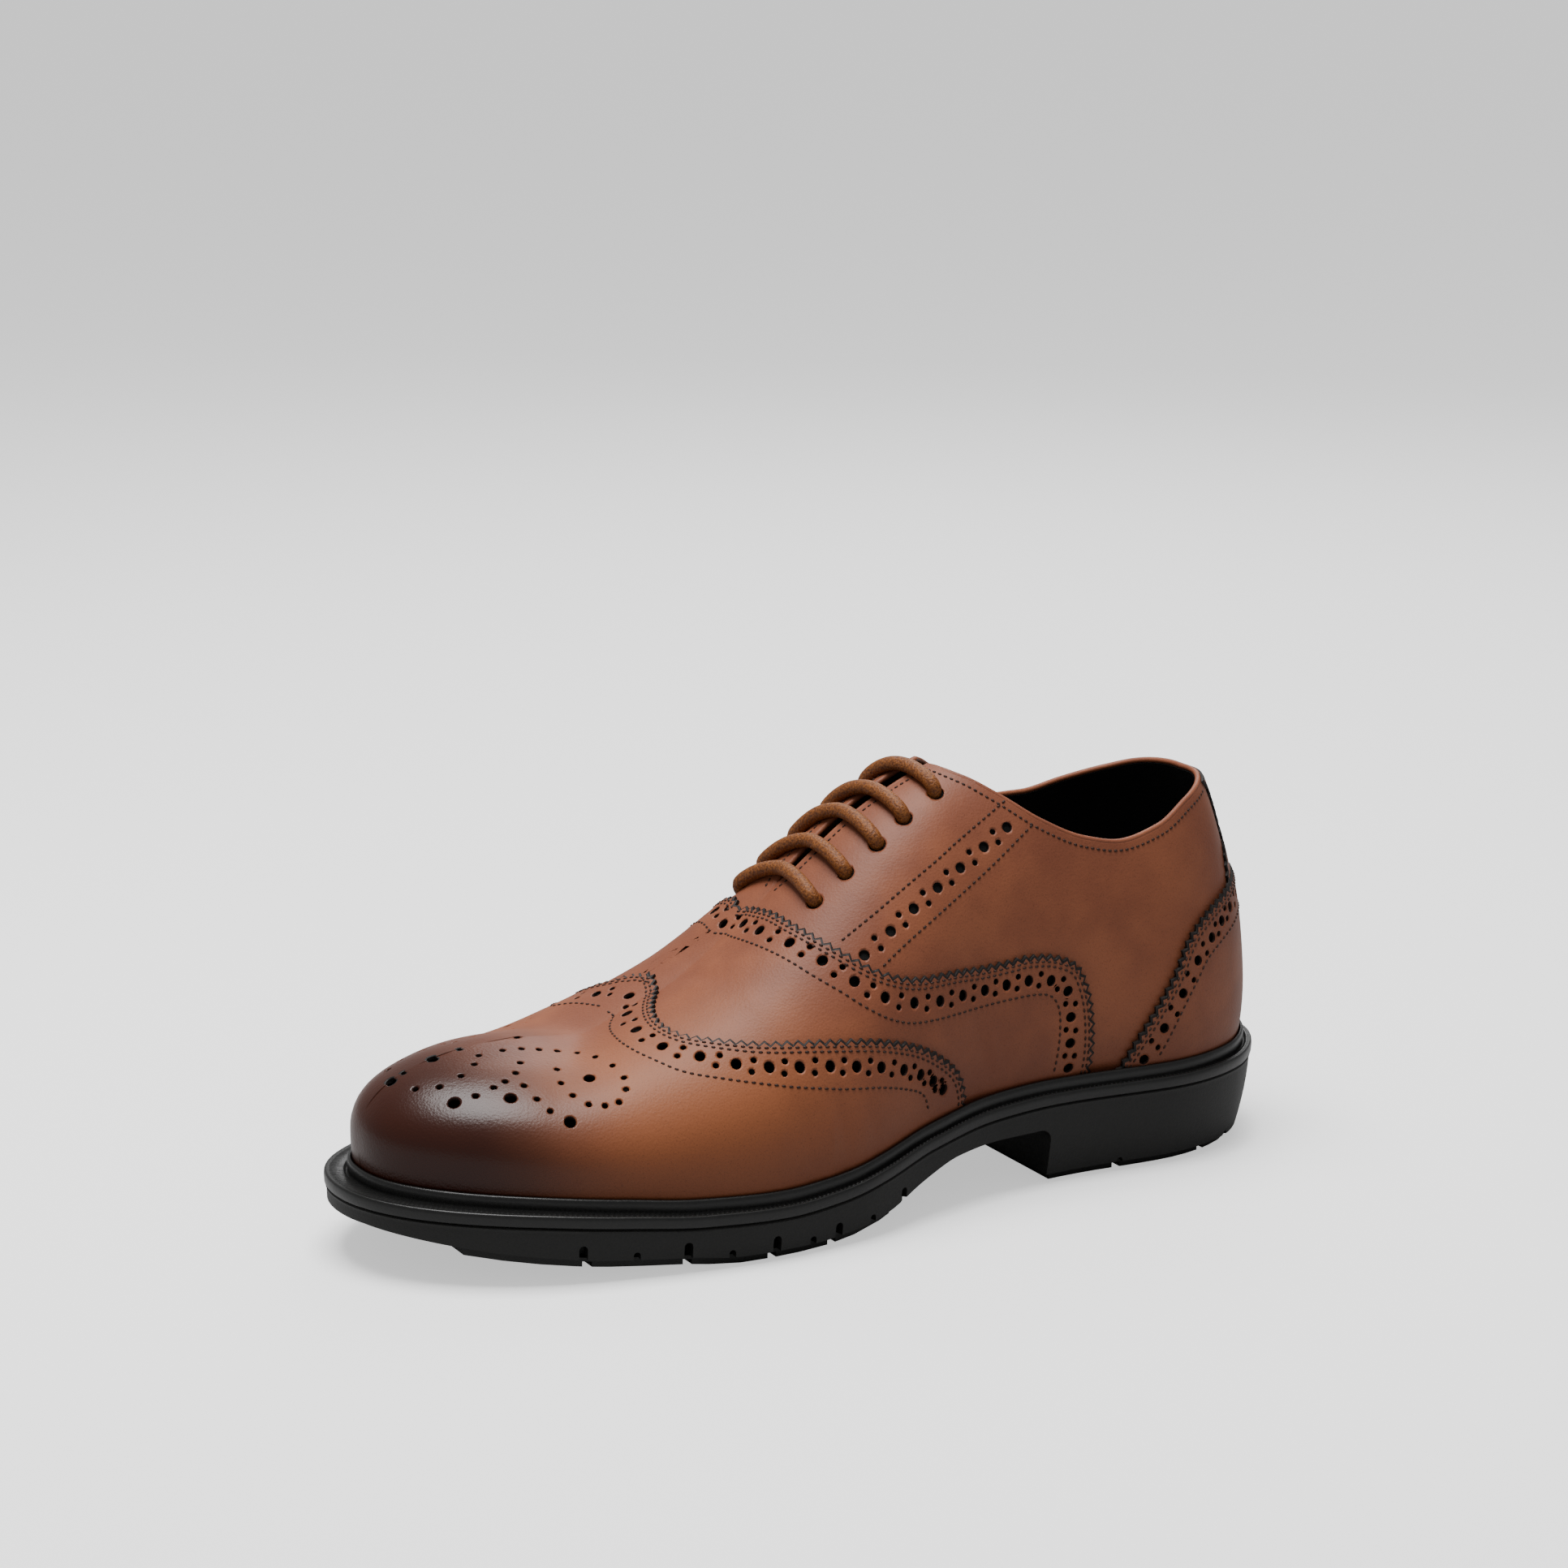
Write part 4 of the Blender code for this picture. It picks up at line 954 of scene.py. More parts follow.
def stitched(name, seams, material, pitch=0.0021, length=0.0015, wide=0.00080, high=0.00055):
    """Beads of thread along lines. A seam is a line and the height that its thread lies at."""
    bm = bmesh.new()
    count = 0
    for line, lift in seams:
        number = int(line[1][-1] / pitch)
        spots, run, left = place(line, (np.arange(number) + 0.5) * line[1][-1] / number)
        at = surface(spots[:, 0], spots[:, 1], lift)
        out = np.cross(run, left)
        for p, r, l, o in zip(at, run, left, out):
            frame_here = Matrix((*zip(r * length, l * wide, o * high),)).to_4x4()
            frame_here.translation = p
            bmesh.ops.create_icosphere(bm, subdivisions=1, radius=0.5, matrix=frame_here)
        count += number
    mesh = bpy.data.meshes.new(name)
    bm.to_mesh(mesh)
    bm.free()
    mesh.shade_smooth()
    mesh.materials.append(material)
    obj = bpy.data.objects.new(name, mesh)
    bpy.context.scene.collection.objects.link(obj)
    print(f"  {name}: {count} stitches")
    return obj


# %% [markdown]
# ## Finishes
#
# The upper is pull-up calf: dyed mid brown, rubbed to tan where the last pushes it out and burnished
# almost black over the toe with a hot brush and wax. Painted light lies over the tan side, and
# painted shade lies over the toe's lower front and near the sole. Its grain is fine, so it is left to
# bump and roughness. The patterns that several finishes share are groups that give out only masks
# and heights. The finish of each material stays in its own shader.

# %% Small helpers for shader nodes
def wired(tree, kind, settings=None, **sockets):
    """A node with its settings; a socket is given a value, or another node's output."""
    made = tree.nodes.new(kind)
    for key, value in (settings or {}).items():
        setattr(made, key, value)
    for key, value in sockets.items():
        socket = made.inputs[int(key[1:])] if key[0] == "_" else made.inputs[key.replace("_", " ")]
        if isinstance(value, bpy.types.NodeSocket):
            tree.links.new(value, socket)
        else:
            socket.default_value = value
    return made


def new_group(name, inputs, outputs):
    """A node group with named value sockets."""
    tree = bpy.data.node_groups.new(name, "ShaderNodeTree")
    for label, value in inputs.items():
        socket = tree.interface.new_socket(label, in_out="INPUT", socket_type="NodeSocketFloat")
        socket.default_value = value
    for label in outputs:
        tree.interface.new_socket(label, in_out="OUTPUT", socket_type="NodeSocketFloat")
    return tree, tree.nodes.new("NodeGroupInput"), tree.nodes.new("NodeGroupOutput")


def ramp(tree, value, low, high):
    """0 below low, 1 above high, smooth between."""
    return wired(tree, "ShaderNodeMapRange", {"interpolation_type": "SMOOTHSTEP"},
                 _0=value, _1=low, _2=high, _3=0.0, _4=1.0).outputs[0]


def maths(tree, kind, a, b=0.0):
    return wired(tree, "ShaderNodeMath", {"operation": kind}, _0=a, _1=b).outputs[0]


def blend_colour(tree, share, a, b):
    made = wired(tree, "ShaderNodeMix", {"data_type": "RGBA"}, _0=share)
    for socket, value in ((made.inputs[6], a), (made.inputs[7], b)):
        if isinstance(value, bpy.types.NodeSocket):
            tree.links.new(value, socket)
        else:
            socket.default_value = (*value, 1.0)
    return made.outputs[2]


# %% Shared patterns: leather grain, and burnish with painted light and shade
def make_grain():
    """Fine pebbled calf with pores; height about 0 to 1."""
    tree, inside, out = new_group("calf_grain", {"Scale": 1.0}, ["Height", "Pores"])
    spot = tree.nodes.new("ShaderNodeTexCoord").outputs["Object"]
    scaled = wired(tree, "ShaderNodeVectorMath", {"operation": "SCALE"}, _0=spot)
    tree.links.new(inside.outputs["Scale"], scaled.inputs["Scale"])
    cells = wired(tree, "ShaderNodeTexVoronoi", {"feature": "SMOOTH_F1"}, Vector=scaled.outputs[0],
                  Scale=1500.0, Smoothness=0.6)
    soft = wired(tree, "ShaderNodeTexNoise", None, Vector=scaled.outputs[0], Scale=700.0, Detail=3.0)
    pores = wired(tree, "ShaderNodeTexNoise", None, Vector=scaled.outputs[0], Scale=2600.0, Detail=1.0)
    height = maths(tree, "ADD", maths(tree, "MULTIPLY", cells.outputs["Distance"], 0.6),
                   maths(tree, "MULTIPLY", soft.outputs[0], 0.7))
    tree.links.new(height, out.inputs["Height"])
    tree.links.new(ramp(tree, pores.outputs[0], 0.58, 0.72), out.inputs["Pores"])
    return tree


def make_burnish_and_light():
    """Toe: 1 over the dark tip, burnish and painted shade. Low: 1 near the sole, painted shade. Tan:
    the warm side, rubbed tan and painted light. Cloud: slow blotches.
    """
    tree, _, out = new_group("burnish_and_painted_light", {}, ["Toe", "Low", "Tan", "Cloud"])
    spot = tree.nodes.new("ShaderNodeTexCoord").outputs["Object"]
    blur = wired(tree, "ShaderNodeTexNoise", None, Vector=spot, Scale=22.0, Detail=3.0)
    fine = wired(tree, "ShaderNodeTexNoise", None, Vector=spot, Scale=75.0, Detail=4.0)

    def ball(centre, stretch, near, far):
        shifted = wired(tree, "ShaderNodeVectorMath", {"operation": "SUBTRACT"}, _0=spot, _1=centre)
        scaled = wired(tree, "ShaderNodeVectorMath", {"operation": "MULTIPLY"},
                       _0=shifted.outputs[0], _1=stretch)
        length = wired(tree, "ShaderNodeVectorMath", {"operation": "LENGTH"}, _0=scaled.outputs[0])
        wavy = maths(tree, "ADD", length.outputs["Value"],
                     maths(tree, "MULTIPLY", blur.outputs[0], 0.010))
        return ramp(tree, maths(tree, "MULTIPLY", wavy, -1.0), -far, -near)

    tree.links.new(ball(TOE_BURNISH_AND_SHADE[0], TOE_BURNISH_AND_SHADE[1], 0.020, 0.064), out.inputs["Toe"])
    tree.links.new(ball(TAN_RUB_AND_LIGHT[0], TAN_RUB_AND_LIGHT[1], 0.012, 0.060), out.inputs["Tan"])
    z = wired(tree, "ShaderNodeSeparateXYZ", None, _0=spot).outputs[2]
    tree.links.new(ramp(tree, maths(tree, "MULTIPLY", z, -1.0), -0.052, -0.022), out.inputs["Low"])
    both = maths(tree, "ADD", maths(tree, "MULTIPLY", blur.outputs[0], 0.6),
                 maths(tree, "MULTIPLY", fine.outputs[0], 0.4))
    tree.links.new(ramp(tree, both, 0.36, 0.66), out.inputs["Cloud"])
    return tree


# The dark toe is burnished, with painted shade over its lower front.
TOE_BURNISH_AND_SHADE = ((0.126, 0.012, 0.036), (1.0, 0.85, 1.25))      # centre and stretch of the dark toe
# The tan side is rubbed to tan, with painted light over it.
TAN_RUB_AND_LIGHT = ((0.062, 0.040, 0.040), (0.75, 1.0, 1.0))       # centre and stretch of the tan side
GRAIN = make_grain()
BURNISH_AND_LIGHT = make_burnish_and_light()
print("shared patterns:", GRAIN.name, "and", BURNISH_AND_LIGHT.name)

# %% [markdown]
# The panels are grained calf, dark and shiny at the waxed toe, where painted shade also darkens its
# lower front. They are darker near the sole from painted shade, and darker at their edges, where dye
# and wax gather. A plainer recipe of two tones makes the rest: black edge (dye, with a painted
# shadow on the top bevel), inside of the holes, lining, thread, rubber and lace. Colours were set
# beside the photograph.

# %% Leathers
MID = (0.255, 0.083, 0.038)        # most of the calf
DEEP = (0.180, 0.056, 0.028)       # its darker blotches and edges
# Tan of the rubbed side, lightened further as painted light.
RUBBED_AND_LIT_TAN = (0.285, 0.092, 0.034)        # warm side of the toe
DARK = (0.090, 0.022, 0.009)       # shade near the sole
# Near black for the pores, the burnished toe and the painted shade over the toe's lower front.
BURNT_AND_SHADED = (0.024, 0.0048, 0.0024)    # burnished toe and pores
MATT, WAXED = 0.50, 0.30           # roughness of the sides and of the toe


def shader(name):
    """A new material, its node tree and its Principled shader."""
    material = bpy.data.materials.new(name)
    material.use_nodes = True
    return material, material.node_tree, material.node_tree.nodes["Principled BSDF"]


def bumped(tree, principled, height, strength, distance):
    """Raises a finish by a height."""
    bump = wired(tree, "ShaderNodeBump", None, Strength=strength, Distance=distance, Height=height)
    tree.links.new(bump.outputs[0], principled.inputs["Normal"])


def make_calf(name):
    """Calf for the panels: burnished toe with painted shade, rubbed tan side with painted light, and
    painted shade near the sole.
    """
    material, tree, principled = shader(name)
    grain = tree.nodes.new("ShaderNodeGroup")
    grain.node_tree = GRAIN
    burnish_and_light = tree.nodes.new("ShaderNodeGroup")
    burnish_and_light.node_tree = BURNISH_AND_LIGHT
    edge = wired(tree, "ShaderNodeAttribute", {"attribute_name": "edge_near"}).outputs["Fac"]
    colour = blend_colour(tree, burnish_and_light.outputs["Cloud"], DEEP, MID)
    # Painted light over the rubbed tan side.
    colour = blend_colour(tree, maths(tree, "MULTIPLY", burnish_and_light.outputs["Tan"], 0.85), colour, RUBBED_AND_LIT_TAN)
    colour = blend_colour(tree, maths(tree, "MULTIPLY", edge, 0.40), colour, DEEP)
    colour = blend_colour(tree, maths(tree, "MULTIPLY", burnish_and_light.outputs["Low"], 0.45), colour, DARK)
    # Burnish and painted shade: the toe goes near black towards its lower front.
    colour = blend_colour(tree, maths(tree, "MULTIPLY", burnish_and_light.outputs["Toe"], 0.96), colour, BURNT_AND_SHADED)
    colour = blend_colour(tree, maths(tree, "MULTIPLY", grain.outputs["Pores"], 0.25), colour, BURNT_AND_SHADED)
    tree.links.new(colour, principled.inputs["Base Color"])
    rough = wired(tree, "ShaderNodeMapRange", None, _0=burnish_and_light.outputs["Toe"], _1=0.0, _2=1.0,
                  _3=MATT, _4=WAXED).outputs[0]
    tree.links.new(rough, principled.inputs["Roughness"])
    tree.links.new(maths(tree, "MULTIPLY", burnish_and_light.outputs["Toe"], 0.06),
                   principled.inputs["Coat Weight"])
    principled.inputs["Coat Roughness"].default_value = 0.30
    principled.inputs["Specular IOR Level"].default_value = 0.25
    bumped(tree, principled, grain.outputs["Height"], 0.22, 0.0003)
    return material


def make_plain(name, colour, dark, roughness, scale, strength, shine=0.5):
    """A finish of two tones of one colour with a fine bump."""
    material, tree, principled = shader(name)
    spot = tree.nodes.new("ShaderNodeTexCoord").outputs["Object"]
    noise = wired(tree, "ShaderNodeTexNoise", None, Vector=spot, Scale=scale, Detail=4.0)
    colour = blend_colour(tree, ramp(tree, noise.outputs[0], 0.3, 0.7), dark, colour)
    tree.links.new(colour, principled.inputs["Base Color"])
    principled.inputs["Roughness"].default_value = roughness
    principled.inputs["Specular IOR Level"].default_value = shine
    bumped(tree, principled, noise.outputs[0], strength, 0.0004)
    return material


calf = make_calf("calf_burnished_and_painted_light")
# Black of the cut edges: dye on the walls, and dye with a painted shadow on the top bevels.
edge_black_and_shadow = make_plain("dyed_edge_and_shadow", (0.010, 0.006, 0.005), (0.004, 0.003, 0.0025),
                        0.6, 900, 0.3, 0.3)
hole_brown = make_plain("punched_edge", (0.040, 0.014, 0.008), (0.018, 0.006, 0.004),
                        0.75, 1200, 0.3)
lining_black = make_plain("black_lining", (0.005, 0.0045, 0.004), (0.003, 0.003, 0.003),
                          0.85, 1300, 0.5, 0.2)
thread = make_plain("waxed_thread", (0.040, 0.014, 0.007), (0.018, 0.006, 0.004),
                    0.60, 1500, 0.2, 0.3)
rubber = make_plain("black_rubber", (0.0085, 0.0082, 0.0075), (0.006, 0.006, 0.0055),
                    0.55, 1400, 0.25, 0.35)
welt_rubber = make_plain("welt_rubber", (0.0075, 0.0075, 0.007), (0.005, 0.005, 0.005),
                         0.36, 900, 0.12, 0.4)
cord_brown = make_plain("waxed_cord", (0.240, 0.078, 0.013), (0.090, 0.024, 0.004),
                        0.55, 1500, 1.0, 0.35)
LEATHER_SET = [calf, edge_black_and_shadow, hole_brown]
LINING_SET = [lining_black, lining_black, lining_black]

# %% [markdown]
# ## The panels
#
# The quarters are one sheet here, from one facing round the heel to the other. Under the vamp and
# under the counter it stops short, so that the punched holes open on the dark lining. The vamp, the
# wing cap, the counter and the back strap lie over it, each one leather higher than the last.

# %% Quarters
SEAT = 0.006              # w at which a panel goes under the storm rim
CLEAR = SEAT + 0.004      # lowest w that a traced edge keeps before it drops to the seat
UNDERLAP = 0.0022         # how far a panel runs on under its neighbour

# Heights of each sheet's two faces over the last's leather surface
QUARTER_SHEET = (-0.0009, 0.0)
STRAP_SHEET = (0.0001, 0.0009)
VAMP_SHEET = (0.0002, 0.0012)
COUNTER_SHEET = (0.0006, 0.0016)
WING_SHEET = (0.0013, 0.0024)
LINING_SHEET = (-0.0019, -0.0010)


def top_edge(low, high, step=0.0035):
    """Places along topline and facing edge between two values of s."""
    count = int(abs(high - low) / step)
    return [(s, rib_top(abs(s), 1 if s >= 0 else 0)) for s in np.linspace(low, high, count + 1)]


def flat_run(low, high, w, step=0.004):
    """Places at one height between two values of s."""
    count = max(int(abs(high - low) / step), 1)
    return [(s, w) for s in np.linspace(low, high, count + 1)]


def heelwards(points):
    """Outer side points turned onto the inner side by way of the heel."""
    return [(-s, w) for s, w in points]


vamp_line = trace(VAMP_LINE)
counter_line = trace(COUNTER_LINE)
under_vamp = [tuple(p) for p in aside(vamp_line, -UNDERLAP)][::-1]
under_counter = [tuple(p) for p in aside(counter_line, UNDERLAP)]
under_counter = [(max(s, 0.0), max(w, SEAT)) for s, w in under_counter]


def quarter_front(line):
    """A quarter's front edge under the vamp, from the sole up to the crown."""
    kept = [(s, w) for s, w in line if CLEAR < w < 0.996]
    return [(kept[0][0], SEAT)] + kept + [(max(s for s, _ in kept) + 0.001, 1.0)]


def quarter_half(line):
    """One quarter's edge from the heel along the sole and up its front."""
    return under_counter + flat_run(under_counter[-1][0], line[0][0], SEAT)[1:-1] + line


near_front = quarter_front(under_vamp)
far_front = quarter_front([(s, 2 - w) for s, w in across(under_vamp)])
far_front[-1] = near_front[-1]
crown_join = near_front[-1][0]
topline_round = top_edge(crown_join, -crown_join)
quarter_outline = (quarter_half(near_front) + topline_round[1:-1]
                   + heelwards(quarter_half(far_front))[::-1][:-1])
facing_cut = punched(FACING_HOLES, (0.0016, 0.0016))

FAR_LEAD = (0.014, 0.022, 0.024, 0.024, 0.022)     # the inner eyelets sit further forward
eyelet_line = trace(EYELETS)
eyelet_spots, eyelet_run, eyelet_left = place(eyelet_line, eyelet_line[1][::12])


def eyelet_holes(lead=(0, 0, 0, 0, 0)):
    """Five eyelets, each moved forward by its lead."""
    ahead = np.stack([np.array(lead, float), np.zeros(5)], -1)
    return [hole(s, r, l, EYELET, 16)
            for s, r, l in zip(eyelet_spots + ahead, eyelet_run, eyelet_left)]


def over_heel(loops):
    """Closed loops turned onto the inner side by way of the heel."""
    return [np.array([(-s, w) for s, w in loop]) for loop in loops]


quarter_holes = facing_cut + eyelet_holes() + over_heel(facing_cut + eyelet_holes(FAR_LEAD))
quarters = lay("quarters", quarter_outline, quarter_holes,
               QUARTER_SHEET, LEATHER_SET, dyed_and_shaded_rim=False)

# %% Vamp
wing_line = trace(WING_EDGE)
vamp_teeth = [tuple(p) for p in gimped(vamp_line, -1)]
vamp_front = [tuple(p) for p in aside(wing_line, -UNDERLAP)]


def halves(points):
    """Outer half of a line from its peak down to the sole, and the inner half."""
    near = [tuple(p) for p in points[:-1] if p[1] > CLEAR] + [(points[-1][0], SEAT)]
    far = [tuple(p) for p in across(near)]
    return near, [near[0], *far[1:-1], (near[-1][0], 2 - SEAT)]


vamp_near, vamp_far = halves(vamp_teeth)
front_near, front_far = halves(vamp_front)
vamp_outline = (vamp_near + flat_run(vamp_near[-1][0], front_near[-1][0], SEAT)[1:-1]
                + front_near[::-1] + front_far[1:]
                + flat_run(front_far[-1][0], vamp_far[-1][0], 2 - SEAT)[1:-1] + vamp_far[:0:-1])


def both_sides(loops, middle=0):
    """Holes of both sides; the first few lie on the middle line and are cut once."""
    return loops + [across(loop) for loop in loops[middle:]]


vamp = lay("vamp", vamp_outline, both_sides(punched(VAMP_HOLES), 1), VAMP_SHEET, LEATHER_SET,
           burn=[vamp_near, vamp_far, front_near, front_far])

# %% Wing cap, closed along the toe's middle line
def half_hole(share, size, corners):
    """Notch of a hole that the toe's middle line cuts through, in rising order."""
    spot = np.array([1.0, share])
    _, upward = slopes(*spot)
    run = upward / np.linalg.norm(upward)
    left = np.cross(facing_out(*spot), run)
    loop = hole(spot, run, left, size, corners)
    kept = sorted([tuple(p) for p in loop if p[0] < 1.0 - 1e-6], key=lambda p: p[1])
    return [(1.0, kept[0][1])] + kept + [(1.0, kept[-1][1])]


wing_teeth = [tuple(p) for p in gimped(wing_line, -1)]
wing_near, wing_far = halves(wing_teeth)
toe_line = []
TOE_STEP = 0.012          # spacing of the plain points up the toe's middle line
notches = sorted([(w, BIG) for w in MIDDLE_BIG] + [(w, SMALL) for w in MIDDLE_SMALL])
last_w = SEAT
for w, size in notches:
    cut_here = half_hole(w, size, 14 if size is BIG else 8)
    toe_line += [(1.0, v) for v in np.arange(last_w, cut_here[0][1] - 0.004, TOE_STEP)] + cut_here
    last_w = cut_here[-1][1] + TOE_STEP
toe_line += [(1.0, v) for v in np.arange(last_w, 0.995, TOE_STEP)] + [(1.0, 1.0)]
toe_half = flat_run(wing_near[-1][0], 1.0, SEAT)[1:-1] + toe_line
wing_outline = (wing_near + toe_half + [(s, 2 - w) for s, w in toe_half[:-1]][::-1]
                + wing_far[:0:-1])


def single_holes(points, size, corners):
    """Holes at places that follow no line."""
    spots = np.array(points)
    along, _ = slopes(*spots.T)
    run = along / np.linalg.norm(along, axis=1, keepdims=True)
    left = np.cross(facing_out(*spots.T), run)
    return [hole(p, r, l, size, corners) for p, r, l in zip(spots, run, left)]


medallion = (single_holes(MEDALLION_BIG, (0.0017, 0.0017), 14)
             + single_holes(MEDALLION_SMALL, SMALL, 9))
wing_holes = both_sides(punched(WING_HOLES), 1) + both_sides(medallion)
wing_cap = lay("wing_cap_leather", wing_outline, wing_holes, WING_SHEET, LEATHER_SET,
               seam=lambda s, w, slack=1e-4: np.abs(np.asarray(s) - 1.0) < slack,
               burn=[wing_near, wing_far])

# %% Heel counter and back strap
counter_teeth = [tuple(p) for p in gimped(counter_line, 1)]
counter_half = ([(0.0, counter_teeth[0][1])] + [p for p in counter_teeth[1:-1] if p[1] > CLEAR]
                + [(counter_teeth[-1][0], SEAT)])
counter_outline = (counter_half + flat_run(counter_half[-1][0], -counter_half[-1][0], SEAT)[1:-1]
                   + [(-s, w) for s, w in counter_half[1:]][::-1])
counter_cut = punched(COUNTER_HOLES)
counter_cut = [c for c in counter_cut if np.array(c)[:, 0].min() > 0.002]
middle_hole = single_holes([(0.0, 0.385)], BIG, 14)
counter = lay("counter_leather", counter_outline, middle_hole + counter_cut + over_heel(counter_cut),
              COUNTER_SHEET, LEATHER_SET, burn=[counter_half, heelwards(counter_half)])
strap_line = trace(STRAP_LINE)
strap_teeth = [tuple(p) for p in gimped(strap_line, -1)]
strap_reach = strap_teeth[-1][0]
strap_top = [(s, w - 0.003) for s, w in top_edge(strap_reach, -strap_reach, 0.006)]
lowest = min(strap_top[0][1], strap_top[-1][1]) - 0.01
strap_teeth = [p for p in strap_teeth if p[1] < lowest]
strap_foot = flat_run(-strap_teeth[0][0], strap_teeth[0][0], strap_teeth[0][1])
strap_outline = strap_foot[1:-1] + strap_teeth + strap_top + heelwards(strap_teeth)[::-1]
strap = lay("strap_leather", strap_outline, [], STRAP_SHEET, LEATHER_SET,
            burn=[strap_teeth, heelwards(strap_teeth)])

# %% [markdown]
# ## Inside the shoe
#
# A black leather lining follows the whole inside. The tongue lies behind the facings, and a soft
# sock covers the insole. All three are dark, but they show through the throat and the collar.

# %% Lining, tongue and sock
throat_front = share_of_crown(THROAT_END)
lining_top = [(s, w - 0.004 if abs(s) < throat_front else 1.0) for s, w in top_edge(1.0, -1.0)]
toe_rise = [(1.0, v) for v in np.arange(0.02, 0.99, 0.02)]
lining_outline = (flat_run(-1.0, 1.0, 0.0, 0.006) + toe_rise + lining_top
                  + heelwards(toe_rise)[::-1])
lining = lay("lining", lining_outline, [], LINING_SHEET, LINING_SET, dyed_and_shaded_rim=False,
             seam=lambda s, w, slack=1e-4: (np.abs(np.abs(s) - 1.0) < slack)
             | (np.abs(w - 1.0) < slack))

TONGUE_SHEET = (-0.0066, -0.0048)
TONGUE_WIDE = 0.046
tongue_shares = np.linspace(share_of_crown(0.375), share_of_crown(THROAT_END + 0.05), 60)


def tongue_rows(lift):
    """One face of the tongue, rounded off at its top."""
    rows = []
    for k, s in enumerate(tongue_shares):
        points, _ = rib(round(float(s), 6), 1)
        length = np.linalg.norm(np.diff(points, axis=0), axis=1).sum()
        rounding = math.sqrt(max(1 - max(1 - k / 8, 0) ** 2, 0.02))
        reach = 0.5 * TONGUE_WIDE * rounding / length
        rows.append([(float(s), v) for v in np.linspace(1 - reach, 1 + reach, 31)])
    rows = np.array(rows)
    return surface(rows[..., 0], rows[..., 1], lift)


upper_face, lower_face = tongue_rows(TONGUE_SHEET[1]), tongue_rows(TONGUE_SHEET[0])
tongue_skin = np.concatenate([upper_face, lower_face[:, ::-1]], 1)
tongue = swept("tongue_leather", tongue_skin, lining_black, (False, True), caps=True)


def around(count):
    """Stations round the outline: outer side to the toe, inner side back."""
    ahead = np.linspace(0, 1, count // 2 + 1)
    return [(float(s), 1) for s in ahead] + [(float(s), 0) for s in ahead[-2:0:-1]]


def outline_place(s, side, out, rise):
    """A place out from the feather line and up from the ledge."""
    at = plan_point(s, side, out)
    return np.array([at[0], at[1], float(ledge_height(at[0])) + rise]) + SHIFT


def spine_place(s, rise):
    """A place on the long axis, up from the ledge."""
    x = crown_point(s)[0]
    return np.array([x, 0.0, float(ledge_height(x)) + rise]) + SHIFT


sock_rows = []
for s, side in around(240):
    rim_out, rim_up = 2.4 * GAP, 2 * GAP
    edge_low = outline_place(s, side, -WALL - rim_out, rim_up)
    edge_top = outline_place(s, side, -WALL - rim_out, INSOLE_THICK)
    inner = outline_place(s, side, -WALL - 0.004, INSOLE_THICK + 0.0012)
    middle, under = spine_place(s, INSOLE_THICK + 0.0014), spine_place(s, rim_up)
    steps = [inner + (middle - inner) * k for k in (0, 0.25, 0.5, 0.75, 1)]
    sock_rows.append([under, edge_low, edge_top, *steps])
sock = swept("insole_sock", sock_rows, lining_black, (True, False))
print("inside pieces made")

# %% [markdown]
# ## Topline and facing edge
#
# At the collar and down the facings the calf is folded over the lining into a thin round edge. A
# fine roll carried along that edge closes the two sheets.

# %% The folded edge
roll_line = trace(topline_round)
spots, _, _ = place(roll_line, np.linspace(0, roll_line[1][-1], 900))
roll_path = surface(spots[:, 0], spots[:, 1], -0.00085)
topline_roll = swept("topline_roll", tube_rows(roll_path, 0.00088, 10, guide=facing_out(*spots.T)),
                     calf, (False, True), caps=True)

# %% [markdown]
# ## Stitches
#
# The gimped edges of the vamp, the wing cap and the heel counter are each held by two rows of
# thread, and one more row runs inside each band of holes; the back strap's edge has none. Two
# more rows run along each facing.

# %% Thread
def seams_beside(line, distances, lift, sides):
    """Rows of thread beside a line, on both sides of the shoe."""
    found = []
    for d in distances:
        spots = aside(line, d, 0.003)
        for side in sides:
            found.append((trace(side(spots)), lift))
    return found


def as_is(spots):
    """The outer side, unturned."""
    return [tuple(p) for p in spots]


def round_heel(spots):
    """The same spots on the inner side by way of the heel."""
    return [(-s, w) for s, w in spots]


THREAD_LIFT = 0.00005
TWO_ROWS = np.array([0.0023, 0.0036])      # in from a gimped edge
seams = []
seams += seams_beside(vamp_line, -TWO_ROWS, VAMP_SHEET[1] + THREAD_LIFT, (as_is, across))
seams += seams_beside(wing_line, -TWO_ROWS, WING_SHEET[1] + THREAD_LIFT, (as_is, across))
seams += seams_beside(counter_line, TWO_ROWS, COUNTER_SHEET[1] + THREAD_LIFT, (as_is, round_heel))
for points, lift, side in (
    (WING_SEAM, WING_SHEET[1], across),
    (VAMP_SEAM, VAMP_SHEET[1], across),
    (COUNTER_SEAM, COUNTER_SHEET[1], round_heel),
    (FACING_SEAM, 0.0, round_heel),
    (FACING_TAIL, 0.0, round_heel),
):
    seams += [(trace(points), lift + THREAD_LIFT), (trace(side(points)), lift + THREAD_LIFT)]
threads = stitched("panel_stitches", seams, thread)

# %% Edge rows along topline and facings
def inside_edge(low, high, distance):
    """A row of thread inside the folded edge."""
    line = trace(top_edge(low, high, 0.006))
    return (trace(as_is(aside(line, distance, 0.003))), THREAD_LIFT)


seam_front = crown_join - 0.03
edge_seams = [inside_edge(0.09, seam_front, 0.0026), inside_edge(-0.09, -seam_front, -0.0026)]
edge_threads = stitched("edge_stitches", edge_seams, thread, pitch=0.0019, length=0.0014)

